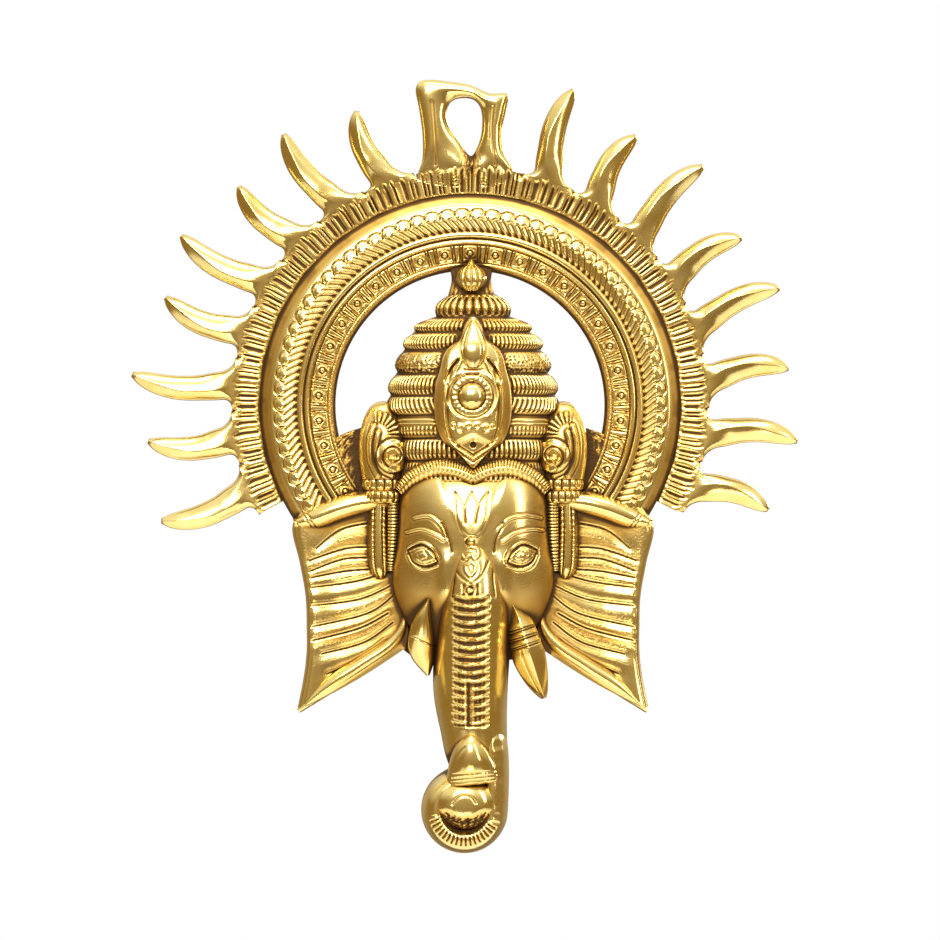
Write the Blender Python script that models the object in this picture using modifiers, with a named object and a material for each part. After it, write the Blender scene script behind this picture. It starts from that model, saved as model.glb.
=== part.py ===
"""Cast brass wall mask of Ganesha in a sun halo. Metres, +Z up, wall plane at y = 0, face towards -Y.

The whole mask is one casting. Each form is first a closed block with a carved front and a back that runs
on behind the wall plane. The blocks are joined, the back is cut flat at the wall, and the head, trunk and
crown are cored out from behind. Plan sizes are laid out from the halo's centre, and the origin is moved to
the back of the hanging loop at the end.
"""

import math

import bmesh
import bpy
from mathutils import Matrix, Vector

MM = 0.001

# Halo ring, turned about its own centre
HALO_INNER_R = 48.7 * MM
HALO_WIDTH = 27.3 * MM
HALO_HEIGHT = 8.4 * MM
HALO_OUTER_R = HALO_INNER_R + HALO_WIDTH
HALO_END_DEG = 37.0  # how far the ring runs on below the horizontal, under the ears
HALO_STEPS = 48
# Across the ring from its inner edge: share of the width, share of the height
HALO_PROFILE = (
    (0.00, 0.34),
    (0.09, 0.60),
    (0.36, 0.80),
    (0.40, 0.93),
    (0.46, 0.91),
    (0.49, 0.80),
    (0.68, 1.00),
    (0.85, 0.86),
    (1.00, 0.56),
)

# Grooved flange between the ring and the rays
FLANGE_WIDTH = 8.6 * MM
FLANGE_HEIGHT = 4.0 * MM
FLANGE_INSET = 2.0 * MM  # how far the flange runs in under the ring
GROOVE_DEPTH = 1.2 * MM
GROOVES_PER_RAY = 4

# Flame rays, evenly rooted but bent by hand: each tip's angle from straight up and its share of the length
RAY_PITCH_DEG = 13.0
RAY_FIRST_DEG = 19.7  # from straight up to the first ray's root on each side
RAY_LENGTH = 35.5 * MM
RIGHT_TIPS = (
    (18.2, 1.00),
    (31.7, 0.84),
    (44.3, 1.02),
    (58.4, 0.87),
    (69.3, 0.99),
    (83.4, 0.89),
    (96.3, 0.98),
    (109.4, 0.84),
)
LEFT_TIPS = (
    (21.1, 0.83),
    (34.5, 0.97),
    (46.6, 0.86),
    (59.6, 1.03),
    (70.5, 0.91),
    (84.8, 1.08),
    (96.4, 0.92),
    (110.6, 0.98),
)
RAY_BODY_HALF = 4.9 * MM
RAY_FLARE_HALF = 5.0 * MM
RAY_RIDGE_HEIGHT = 6.4 * MM
RAY_EDGE_HEIGHT = 2.6 * MM
RAY_SWAY = 3.4 * MM

# Hanging loop: two horns and the bar that joins them over the eye
LOOP_CENTRE_X = -1.8 * MM
LOOP_BAR_RISE = 37.7 * MM  # from the ring's outer edge to the middle of the bar
LOOP_BAR_HALF = 3.3 * MM
LOOP_BAR_HEIGHT = 5.2 * MM
LOOP_EYE_HALF = 5.8 * MM
LOOP_HORN_HEIGHT = 6.6 * MM
LOOP_WEB_HEIGHT = 4.4 * MM
LOOP_EYE_FOOT = 0.34  # share of the horns' rise where the eye ends and the web between them begins

# Figure: plan places are shares of its height, finial top to trunk bottom
FIGURE_HEIGHT = 213.7 * MM
FIGURE_CENTRE_X = 1.1 * MM
FIGURE_UNIT = FIGURE_HEIGHT / 213.7
FACE_DEPTH = 25.5 * MM
TRUNK_DEPTH = 30.0 * MM
CROWN_DEPTH = 22.0 * MM
EAR_RIM_HEIGHT = 8.0 * MM
EAR_BED_HEIGHT = 5.2 * MM
EAR_FOLD_RISE = 2.0 * MM
EAR_FOLDS = 9
PLATE_HEIGHT = 4.2 * MM
CASTING_WALL = 3.2 * MM

BACK_ALLOWANCE = 2.0 * MM  # how far each block runs on behind the wall plane before the flat cut
BACK_STEP = 0.05 * MM  # so that no two blocks end on the same plane
CUT_SIZE = 0.6
FLAT_ANGLE_DEG = 1.0  # faces that meet at less than this are merged into one

BRASS = (0.83, 0.58, 0.16, 1.0)


def start_scene():
    """An empty file with one collection for the mask and one for the blocks and cutters."""
    for thing in list(bpy.data.objects):
        bpy.data.objects.remove(thing, do_unlink=True)
    made = []
    for name in ("ganesha_mask", "blocks", "cores"):
        folder = bpy.data.collections.new(name)
        bpy.context.scene.collection.children.link(folder)
        made.append(folder)
    return made


MASK, BLOCKS, CORES = start_scene()


def add_mesh(bm, name, folder):
    """Turns a bmesh into a named object in a folder."""
    mesh = bpy.data.meshes.new(name)
    bmesh.ops.recalc_face_normals(bm, faces=bm.faces)
    bm.to_mesh(mesh)
    bm.free()
    made = bpy.data.objects.new(name, mesh)
    folder.objects.link(made)
    if folder is not MASK:
        made.hide_render = True
        made.display_type = "WIRE"
    return made


def block_back():
    """The y of the next block's back, a little behind the last one's."""
    return BACK_ALLOWANCE + BACK_STEP * len(BLOCKS.objects)


def relief(name, columns, rows, surface, folder=None, back=None):
    """A closed block from a grid: surface(u, v) gives x, z and the height of the front above the wall."""
    bm = bmesh.new()
    bmesh.ops.create_grid(bm, x_segments=columns, y_segments=rows, size=0.5)
    for vert in bm.verts:
        x, z, height = surface(vert.co.x + 0.5, vert.co.y + 0.5)
        vert.co = Vector((x, -height, z))
    front = bm.faces[:]
    made = bmesh.ops.extrude_face_region(bm, geom=front, use_keep_orig=True)
    rear_y = block_back() if back is None else back
    for part in made["geom"]:
        if isinstance(part, bmesh.types.BMVert):
            part.co.y = rear_y
    return add_mesh(bm, name, folder or BLOCKS)


def smooth_path(stations, share):
    """A point on the smooth curve through the stations, each a tuple of numbers, at share 0 to 1."""
    spans = len(stations) - 1
    place = min(max(share, 0.0), 1.0) * spans
    i = min(int(place), spans - 1)
    t = place - i
    before = stations[max(i - 1, 0)]
    a, b = stations[i], stations[i + 1]
    after = stations[min(i + 2, spans)]
    return tuple(
        0.5
        * (
            2 * q
            + (r - p) * t
            + (2 * p - 5 * q + 4 * r - s) * t * t
            + (3 * q - p - 3 * r + s) * t**3
        )
        for p, q, r, s in zip(before, a, b, after)
    )


def ribbon(name, stations, columns, rows, cross, folder=None, back=None):
    """A block along a path. A station is x, z, half width, height; cross(t) shapes the front across it,
    as a share of the height, with t from -1 to 1."""

    def surface(u, v):
        x, z, half, height = smooth_path(stations, v)
        ahead = smooth_path(stations, min(v + 0.01, 1.0))
        behind = smooth_path(stations, max(v - 0.01, 0.0))
        along = Vector((ahead[0] - behind[0], ahead[1] - behind[1])).normalized()
        t = math.sin((u - 0.5) * math.pi)
        return x - along.y * half * t, z + along.x * half * t, height * cross(t)

    return relief(name, columns, rows, surface, folder, back)


def round_cross(edge):
    """A rounded front that starts from a share of its height at the two edges."""
    return lambda t: edge + (1 - edge) * math.sqrt(max(0.0, 1 - t * t))


def ridge_cross(edge, hollow):
    """Two facets that meet in a ridge, hollow above 1 bends them inwards."""
    return lambda t: edge + (1 - edge) * (1 - abs(t)) ** hollow


def figure(x, z):
    """A plan place on the figure, given in millimetres of the full-size figure."""
    return FIGURE_CENTRE_X + x * FIGURE_UNIT, z * FIGURE_UNIT


def figure_stations(points):
    """Stations in millimetres of the full-size figure: x, z, half width and height."""
    made = []
    for x, z, half, height in points:
        px, pz = figure(x, z)
        made.append((px, pz, half * FIGURE_UNIT, height))
    return made


def polar(radius, degrees):
    """A plan place around the halo's centre, the angle counted from straight up, with the clock."""
    turn = math.radians(degrees)
    return radius * math.sin(turn), radius * math.cos(turn)


# Halo ring

def halo_ring():
    """The ring is a profile turned about the halo's axis, with the sector under the head cut away."""
    bm = bmesh.new()
    rear = BACK_ALLOWANCE
    outline = [(HALO_INNER_R, rear)]
    for across, up in HALO_PROFILE:
        outline.append((HALO_INNER_R + across * HALO_WIDTH, -up * HALO_HEIGHT))
    outline.append((HALO_OUTER_R, rear))
    verts = [bm.verts.new((r, y, 0.0)) for r, y in outline]
    for i, vert in enumerate(verts):
        bm.edges.new((vert, verts[(i + 1) % len(verts)]))
    profile = add_mesh(bm, "halo_profile", BLOCKS)
    screw = profile.modifiers.new("turn", "SCREW")
    screw.axis = "Y"
    screw.steps = screw.render_steps = HALO_STEPS
    screw.use_merge_vertices = True
    screw.merge_threshold = 0.00001
    turned = bpy.data.meshes.new_from_object(
        profile.evaluated_get(bpy.context.evaluated_depsgraph_get())
    )
    bpy.data.objects.remove(profile, do_unlink=True)
    bm = bmesh.new()
    bm.from_mesh(turned)
    bmesh.ops.remove_doubles(bm, verts=bm.verts, dist=0.00001)
    ring = add_mesh(bm, "halo_ring", BLOCKS)
    wedge = lower_wedge()
    cut = ring.modifiers.new("under the head", "BOOLEAN")
    cut.operation = "DIFFERENCE"
    cut.object = wedge
    return ring


def lower_wedge():
    """A prism over the sector of the ring that the ears and the head cover."""
    reach = 2 * HALO_OUTER_R
    first, last = 90 + HALO_END_DEG, 270 - HALO_END_DEG
    bm = bmesh.new()
    corners = [(0.0, 0.0), polar(reach, first), polar(reach, 180), polar(reach, last)]
    front = [bm.verts.new((x, -3 * HALO_HEIGHT, z)) for x, z in corners]
    face = bm.faces.new(front)
    made = bmesh.ops.extrude_face_region(bm, geom=[face], use_keep_orig=True)
    for part in made["geom"]:
        if isinstance(part, bmesh.types.BMVert):
            part.co.y = 3 * BACK_ALLOWANCE
    wedge = add_mesh(bm, "ring_wedge", MASK)
    MASK.objects.unlink(wedge)
    bpy.context.scene.collection.objects.link(wedge)
    wedge.hide_render = True
    wedge.display_type = "WIRE"
    return wedge


# Flange and rays

FLANGE_HALF_DEG = RAY_FIRST_DEG + (len(RIGHT_TIPS) - 0.5) * RAY_PITCH_DEG
FLANGE_OUTER_R = HALO_OUTER_R + FLANGE_WIDTH


def flange():
    """A band around the ring, cut by short radial grooves."""
    grooves = round(2 * FLANGE_HALF_DEG / RAY_PITCH_DEG * GROOVES_PER_RAY)
    columns = 2 * grooves
    inner = HALO_OUTER_R - FLANGE_INSET

    def surface(u, v):
        column = round(u * columns)
        x, z = polar(inner + (FLANGE_OUTER_R - inner) * v, -FLANGE_HALF_DEG + 2 * FLANGE_HALF_DEG * u)
        groove = GROOVE_DEPTH * (column % 2) * (1 - v)
        return x, z, FLANGE_HEIGHT - groove

    relief("flange", columns, 1, surface)


def ray(name, root_deg, tip_deg, length):
    """A flame that sways against the clock and bends back to its blunt tip, with a ridge along it."""
    root = FLANGE_OUTER_R - 0.22 * FLANGE_WIDTH
    run = length + 0.22 * FLANGE_WIDTH
    stations = []
    steps = 9
    for i in range(steps):
        s = i / (steps - 1)
        sway = RAY_SWAY * math.sin(math.pi * s**1.25)
        half = RAY_BODY_HALF * max(0.0, 1 - s**2.8) ** 0.7 + RAY_FLARE_HALF * math.exp(-s / 0.24)
        half = max(half, 0.2 * RAY_BODY_HALF)
        degrees = root_deg + (tip_deg - root_deg) * s
        x, z = polar(root + run * s, degrees)
        side_x, side_z = polar(1.0, degrees - 90)
        height = RAY_RIDGE_HEIGHT * (1 - 0.35 * s) * min(1.0, 0.64 + 1.5 * s)
        stations.append((x + side_x * sway, z + side_z * sway, half, height))
    edge = RAY_EDGE_HEIGHT / RAY_RIDGE_HEIGHT
    ribbon(name, stations, 4, 7, ridge_cross(edge, 1.15))


def rays():
    """The rays stand at an even pitch on both sides of the hanging loop."""
    for side, tips, name in ((-1, LEFT_TIPS, "left"), (1, RIGHT_TIPS, "right")):
        for i, (tip_deg, share) in enumerate(tips):
            root_deg = RAY_FIRST_DEG + i * RAY_PITCH_DEG
            ray(f"ray_{name}_{i}", side * root_deg, side * tip_deg, share * RAY_LENGTH)


def hanging_loop():
    """Two horns rise from the flange, and a bar joins them over the eye that the nail passes."""
    foot = HALO_OUTER_R + 0.3 * FLANGE_WIDTH
    bar = HALO_OUTER_R + LOOP_BAR_RISE
    left = LOOP_CENTRE_X - LOOP_EYE_HALF
    right = LOOP_CENTRE_X + LOOP_EYE_HALF
    rise = bar - foot
    left_horn = (
        (left - 2.5 * MM, foot, 10.6 * MM, LOOP_HORN_HEIGHT * 0.55),
        (left - 2.5 * MM, foot + 0.20 * rise, 9.4 * MM, LOOP_HORN_HEIGHT),
        (left - 2.9 * MM, foot + 0.36 * rise, 8.2 * MM, LOOP_HORN_HEIGHT),
        (left - 4.6 * MM, foot + 0.52 * rise, 6.2 * MM, LOOP_HORN_HEIGHT),
        (left - 5.8 * MM, foot + 0.78 * rise, 4.9 * MM, LOOP_HORN_HEIGHT * 0.95),
        (left - 6.2 * MM, bar - 0.8 * MM, 4.7 * MM, LOOP_HORN_HEIGHT * 0.9),
        (left - 6.4 * MM, bar + 4.2 * MM, 2.9 * MM, LOOP_HORN_HEIGHT * 0.75),
    )
    right_horn = (
        (right + 4.0 * MM, foot, 7.8 * MM, LOOP_HORN_HEIGHT * 0.55),
        (right + 3.8 * MM, foot + 0.20 * rise, 7.0 * MM, LOOP_HORN_HEIGHT),
        (right + 2.6 * MM, foot + 0.36 * rise, 7.0 * MM, LOOP_HORN_HEIGHT),
        (right + 3.0 * MM, foot + 0.52 * rise, 5.2 * MM, LOOP_HORN_HEIGHT),
        (right + 4.0 * MM, foot + 0.78 * rise, 4.0 * MM, LOOP_HORN_HEIGHT * 0.95),
        (right + 5.6 * MM, bar - 2.4 * MM, 3.4 * MM, LOOP_HORN_HEIGHT * 0.8),
        (right + 9.4 * MM, bar + 0.4 * MM, 1.4 * MM, LOOP_HORN_HEIGHT * 0.6),
    )
    arch = (
        (left - 6.0 * MM, bar + 1.0 * MM, LOOP_BAR_HALF, LOOP_BAR_HEIGHT),
        (left + 1.0 * MM, bar + 0.6 * MM, LOOP_BAR_HALF, LOOP_BAR_HEIGHT),
        (LOOP_CENTRE_X, bar, LOOP_BAR_HALF, LOOP_BAR_HEIGHT),
        (right - 0.4 * MM, bar - 2.0 * MM, LOOP_BAR_HALF, LOOP_BAR_HEIGHT),
        (right + 4.6 * MM, bar - 4.2 * MM, LOOP_BAR_HALF, LOOP_BAR_HEIGHT),
    )
    ribbon("loop_horn_left", left_horn, 4, 8, ridge_cross(0.45, 0.8))
    ribbon("loop_horn_right", right_horn, 4, 8, ridge_cross(0.45, 0.8))
    ribbon("loop_bar", arch, 4, 7, round_cross(0.5))
    web = (
        (LOOP_CENTRE_X, foot - 0.1 * rise, 1.3 * LOOP_EYE_HALF, LOOP_WEB_HEIGHT),
        (LOOP_CENTRE_X, foot + 0.2 * rise, 0.9 * LOOP_EYE_HALF, LOOP_WEB_HEIGHT),
        (
            LOOP_CENTRE_X + 0.2 * LOOP_EYE_HALF,
            foot + LOOP_EYE_FOOT * rise,
            0.5 * LOOP_EYE_HALF,
            LOOP_WEB_HEIGHT,
        ),
    )
    ribbon("loop_web", web, 2, 3, lambda t: 1.0)


# Crown

# Tiers from the top down: z of the top, half width, share of the crown's depth
TIERS = (
    (40.6, 13.6, 0.54),
    (32.0, 21.4, 0.70),
    (26.5, 25.4, 0.82),
    (20.0, 28.2, 0.90),
    (11.0, 31.2, 0.96),
    (3.0, 32.2, 1.00),
    (-3.4, 31.4, 1.00),
    (-11.8, 30.4, 1.03),
    (-20.0, 29.0, 1.05),
)
CROWN_FOOT = -28.0
CROWN_COLUMNS = 20
CROWN_FOOT_SHARE = 0.16
CROWN_GROOVE = 0.93  # groove between two tiers, as a share of the smaller of them
CROWN_STEP = 1.06  # a tier wider than the one above by this much gets a second row


def crown():
    """Stacked fluted tiers, each a roll that stands out from the one above over a groove."""
    above = TIERS[0]
    rows = [(above[0] + 1.6, 0.6 * above[1], 0.75 * above[2], 0.0)]
    for i, tier in enumerate(TIERS):
        top, half, deep = tier
        foot = TIERS[i + 1][0] if i + 1 < len(TIERS) else CROWN_FOOT
        rows.append((top, CROWN_GROOVE * min(half, above[1]), CROWN_GROOVE * min(deep, above[2]), 0.0))
        if half > CROWN_STEP * above[1]:
            rows.append((top - 0.2 * (top - foot), 0.98 * half, 0.98 * deep, 1.0))
        rows.append((top - 0.65 * (top - foot), half, deep, 1.0))
        above = tier
    rows.append((CROWN_FOOT, CROWN_GROOVE * half, CROWN_GROOVE * deep, 0.0))

    def surface(u, v):
        z, half, deep, flute = rows[round(v * (len(rows) - 1))]
        turn = math.pi * (1 - u)
        cut = 0.035 * flute if round(u * CROWN_COLUMNS) % 2 else 0.0
        x, z = figure(half * math.cos(turn) * (1 - 0.3 * cut), z)
        foot = CROWN_FOOT_SHARE * CROWN_DEPTH
        return x, z, foot + (CROWN_DEPTH * deep * (1 - cut) - foot) * max(0.0, math.sin(turn)) ** 0.8

    relief("crown", CROWN_COLUMNS, len(rows) - 1, surface)


def finial():
    """The bud on top of the crown, on a neck that ties it to the ring."""
    neck = ((0, 54.5, 8.0, 0.30), (0, 47, 6.6, 0.34), (0, 39, 9.2, 0.38))
    stations = figure_stations([(x, z, half, deep * CROWN_DEPTH) for x, z, half, deep in neck])
    ribbon("finial_neck", stations, 4, 4, round_cross(0.6))
    bud = (
        (-0.6, 52.4, 0.6, 0.46),
        (-0.6, 49.4, 2.9, 0.58),
        (-0.6, 45.8, 5.4, 0.68),
        (-0.6, 42.4, 4.8, 0.66),
        (-0.6, 40.2, 2.4, 0.52),
    )
    stations = figure_stations([(x, z, half, deep * CROWN_DEPTH) for x, z, half, deep in bud])
    ribbon("finial_bud", stations, 6, 6, round_cross(0.4))


def crest():
    """The pear-shaped crest plaque with a drop gem above a round boss."""
    outline = (
        (0, 31.6, 1.2, 0.86),
        (0, 26.0, 4.6, 0.98),
        (0, 20.5, 7.4, 1.06),
        (0, 12.5, 10.2, 1.12),
        (0, 3.5, 13.3, 1.15),
        (0, -5.4, 13.6, 1.16),
        (0, -12.7, 12.2, 1.16),
        (0, -18.2, 7.8, 1.15),
        (0, -22.8, 0.9, 1.12),
    )
    stations = figure_stations([(x, z, half, deep * CROWN_DEPTH) for x, z, half, deep in outline])
    ribbon("crest_plaque", stations, 4, 9, lambda t: 0.93 + 0.07 * (1 - t * t))
    gem = (
        (0, 30.0, 0.6, 1.00),
        (0, 24.5, 3.9, 1.13),
        (0, 18.5, 4.6, 1.20),
        (0, 13.0, 2.6, 1.20),
        (0, 11.0, 1.2, 1.14),
    )
    stations = figure_stations([(x, z, half, deep * CROWN_DEPTH) for x, z, half, deep in gem])
    ribbon("crest_gem", stations, 4, 6, round_cross(0.92))
    dome("crest_rosette", 0, 4.3, 8.7, 8.9, 1.17 * CROWN_DEPTH, 1.22 * CROWN_DEPTH)
    dome("crest_boss", 0, 4.3, 4.7, 4.7, 1.20 * CROWN_DEPTH, 1.32 * CROWN_DEPTH)


def dome(name, x, z, half_x, half_z, rim, top, columns=14, rings=2):
    """A round boss: a cap of half-ellipse section on a straight foot."""
    centre_x, centre_z = figure(x, z)
    bm = bmesh.new()
    bmesh.ops.create_cone(
        bm, cap_ends=True, segments=columns, radius1=1.0, radius2=1.0, depth=1.0
    )
    rear = block_back()
    lid = [v for v in bm.verts if v.co.z > 0]
    for vert in bm.verts:
        vert.co = Vector((vert.co.x, -rim if vert in lid else rear, vert.co.y))
    face = [f for f in bm.faces if all(v in lid for v in f.verts)][0]
    bmesh.ops.recalc_face_normals(bm, faces=bm.faces)
    for ring in range(1, rings + 1):
        lean = 0.5 * math.pi * ring / (rings + 0.6)
        bmesh.ops.inset_region(bm, faces=[face], thickness=0.05)
        for vert in face.verts:
            spot = Vector((vert.co.x, vert.co.z)).normalized() * math.cos(lean)
            vert.co = Vector((spot.x, -rim - (top - rim) * math.sin(lean), spot.y))
    for vert in bm.verts:
        vert.co.x = centre_x + vert.co.x * half_x * FIGURE_UNIT
        vert.co.z = centre_z + vert.co.z * half_z * FIGURE_UNIT
    return add_mesh(bm, name, BLOCKS)


def brim():
    """Two fluted arcs that meet in a dip over the middle of the forehead."""
    for side, name in ((-1, "left"), (1, "right")):
        arc = (
            (26.8, -31.2, 2.3, 0.66),
            (21.5, -26.0, 2.8, 0.88),
            (13.2, -22.6, 3.0, 1.04),
            (5.4, -23.4, 3.0, 1.12),
            (-0.6, -26.2, 2.8, 1.14),
        )
        stations = figure_stations([(side * x, z, half, deep * CROWN_DEPTH) for x, z, half, deep in arc])
        ribbon(f"brim_{name}", stations, 4, 8, round_cross(0.86))


def side_crests():
    """A curled volute over a fluted capital and a hanging lock at each side of the crown."""
    for side, name in ((-1, "left"), (1, "right")):
        body = (
            (30.0, 0.5, 1.8, 9.0),
            (31.6, -3.0, 6.4, 11.0),
            (32.4, -10.0, 8.4, 12.6),
            (32.6, -18.0, 8.6, 12.8),
            (32.4, -26.8, 7.6, 12.0),
        )
        stations = figure_stations([(side * x, z, half, deep * MM) for x, z, half, deep in body])
        ribbon(f"volute_{name}", stations, 4, 6, round_cross(0.6))
        turns = []
        for i in range(9):
            bend = math.radians(-200 + 50 * i)
            reach = 5.6 - 0.42 * i
            x, z = 28.6 - reach * math.cos(bend), -18.2 + reach * math.sin(bend)
            turns.append((side * x, z, 1.35, 15.2 * MM))
        ribbon(f"volute_curl_{name}", figure_stations(turns), 2, 11, round_cross(0.82))
        for level, (z, half) in enumerate(((-28.4, 7.8), (-32.6, 7.2))):
            capital = (
                (32.0, z + 2.3, half * 0.9, 12.6),
                (32.0, z + 1.0, half, 13.6),
                (32.0, z - 1.0, half, 13.6),
                (32.0, z - 2.3, half * 0.9, 12.6),
            )
            stations = figure_stations([(side * x, pz, w, deep * MM) for x, pz, w, deep in capital])
            ribbon(f"capital_{name}_{level}", stations, 4, 3, round_cross(0.55))
        lock = (
            (34.0, -33.0, 3.3, 10.5),
            (34.3, -46.0, 3.7, 11.2),
            (34.0, -57.0, 3.7, 11.0),
            (33.4, -61.0, 3.0, 10.0),
            (33.2, -62.6, 1.2, 8.6),
        )
        stations = figure_stations([(side * x, z, w, deep * MM) for x, z, w, deep in lock])
        ribbon(f"side_lock_{name}", stations, 4, 5, round_cross(0.5))
        strand = ((28.6, -33.0, 2.3, 11.4), (28.8, -46.0, 2.2, 11.8), (29.6, -60.0, 1.6, 10.4))
        stations = figure_stations([(side * x, z, w, deep * MM) for x, z, w, deep in strand])
        ribbon(f"bead_strand_{name}", stations, 2, 4, round_cross(0.75))


# Face

# From the brow down: z, half width, share of the face's depth
FACE_STATIONS = (
    (-19.0, 22.0, 0.72),
    (-27.0, 25.4, 0.88),
    (-35.0, 26.8, 0.96),
    (-44.0, 27.2, 0.99),
    (-52.0, 28.0, 0.98),
    (-60.0, 29.4, 0.95),
    (-68.0, 28.6, 0.90),
    (-76.0, 25.6, 0.82),
    (-84.0, 20.6, 0.72),
    (-92.0, 15.0, 0.60),
)
FACE_FOOT_SHARE = 0.22


def face_section(v, inset=0.0):
    """Plan x half width, z and depth of the face at share v from brow to jaw, less an inset."""
    z, half, deep = smooth_path(FACE_STATIONS, v)
    return z, half * FIGURE_UNIT - inset, deep * FACE_DEPTH - inset


def face():
    """The domed face, broadest at the cheeks."""

    def surface(u, v):
        z, half, deep = face_section(v)
        t = (u - 0.5) * math.pi
        x, pz = figure(0, z)
        foot = FACE_FOOT_SHARE * FACE_DEPTH
        return x + half * math.sin(t), pz, foot + (deep - foot) * math.cos(t) ** 0.75

    relief("face", 12, 10, surface)


def eyes():
    """Almond eyes under raised brows."""
    for side, name in ((-1, "left"), (1, "right")):
        lid = (
            (side * 12.2, -55.6, 0.7, 0.965 * FACE_DEPTH),
            (side * 15.0, -54.6, 2.9, 0.985 * FACE_DEPTH),
            (side * 18.4, -54.8, 3.9, 0.925 * FACE_DEPTH),
            (side * 21.6, -55.2, 2.9, 0.83 * FACE_DEPTH),
            (side * 24.0, -53.8, 0.7, 0.71 * FACE_DEPTH),
        )
        ribbon(f"eye_{name}", figure_stations(lid), 4, 6, round_cross(0.90))
        brow = (
            (side * 9.6, -48.2, 0.8, 1.035 * FACE_DEPTH),
            (side * 13.0, -44.4, 1.7, 1.03 * FACE_DEPTH),
            (side * 18.0, -42.4, 2.1, 0.97 * FACE_DEPTH),
            (side * 23.4, -44.6, 1.6, 0.80 * FACE_DEPTH),
        )
        ribbon(f"brow_{name}", figure_stations(brow), 2, 6, round_cross(0.94))


# Trunk, tusks and the sweet that the trunk holds

# Down the trunk: x, z, half width, share of the trunk's depth
TRUNK_STATIONS = (
    (0.6, -47.0, 8.6, 0.86),
    (0.6, -58.0, 12.4, 0.96),
    (0.6, -72.0, 14.0, 1.00),
    (0.0, -88.0, 13.6, 1.00),
    (-0.2, -103.0, 12.8, 0.97),
    (0.6, -116.0, 12.2, 0.93),
    (1.6, -127.0, 11.4, 0.88),
)
TRUNK_FOOT_SHARE = 0.30
TRUNK_PLAIN_ROWS = 4
TRUNK_RUNG_ROWS = 32
TRUNK_RUNG_START = 0.28  # share of the trunk's run above the first rung
TRUNK_RUNG_SPAN = 0.6
RUNG_DEPTH = 0.9 * MM
CURL_CENTRE = (-3.1, -146.2)
CURL_R = 10.2
CURL_TUBE_HALF = 5.5
CURL_SHARE = 0.80
TUSK_BANDS = 3


def trunk_stations(inset=0.0):
    """The trunk's stations in metres, less an inset on width and depth."""
    points = [(x, z, half, deep * TRUNK_DEPTH) for x, z, half, deep in TRUNK_STATIONS]
    return [(x, z, half - inset, height - inset) for x, z, half, height in figure_stations(points)]


def trunk():
    """The trunk runs straight down with raised rungs across its front."""
    stations = trunk_stations()
    plain = round_cross(TRUNK_FOOT_SHARE)
    rows = TRUNK_PLAIN_ROWS + TRUNK_RUNG_ROWS

    def surface(u, v):
        row = round(v * rows)
        below = row - TRUNK_PLAIN_ROWS
        if below < 0:
            share = TRUNK_RUNG_START * row / TRUNK_PLAIN_ROWS
        else:
            share = TRUNK_RUNG_START + (1 - TRUNK_RUNG_START) * below / TRUNK_RUNG_ROWS
        x, z, half, height = smooth_path(stations, share)
        t = math.sin((u - 0.5) * math.pi)
        gap = below > 0 and below % 2 and abs(t) < TRUNK_RUNG_SPAN
        return x - half * t, z, height * plain(t) - (RUNG_DEPTH if gap else 0.0)

    relief("trunk", 6, rows, surface)


def curl_point(degrees, reach=CURL_R):
    """A plan place on the curl, in millimetres of the figure."""
    turn = math.radians(degrees)
    return CURL_CENTRE[0] + reach * math.cos(turn), CURL_CENTRE[1] + reach * math.sin(turn)


def curl():
    """The trunk's end goes down on the right, round the bottom and up on the left around its own tip."""
    stations = [(5.8, -118.0, 6.2, 0.84 * TRUNK_DEPTH), (7.0, -132.0, 6.0, 0.80 * TRUNK_DEPTH)]
    for degrees in range(0, -246, -24):
        x, z = curl_point(degrees)
        stations.append((x, z, CURL_TUBE_HALF, CURL_SHARE * TRUNK_DEPTH))
    x, z = curl_point(-258)
    stations.append((x + 1.0, z + 1.5, 0.9 * CURL_TUBE_HALF, CURL_SHARE * TRUNK_DEPTH))
    ribbon("trunk_curl", figure_stations(stations), 6, 18, round_cross(0.35))
    x, z = CURL_CENTRE
    dome("trunk_tip", x + 1.2, z + 2.0, 9.9, 8.8, 0.62 * TRUNK_DEPTH, 0.93 * TRUNK_DEPTH, 14, 3)
    sweet = (
        (0.4, -118.6, 0.9, 0.88),
        (0.6, -122.0, 4.0, 1.00),
        (0.4, -127.5, 6.6, 1.04),
        (0.0, -133.0, 8.2, 1.02),
        (-0.2, -137.4, 8.4, 0.94),
    )
    stations = figure_stations([(x, z, half, deep * TRUNK_DEPTH) for x, z, half, deep in sweet])
    ribbon("sweet", stations, 6, 6, round_cross(0.70))


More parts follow.
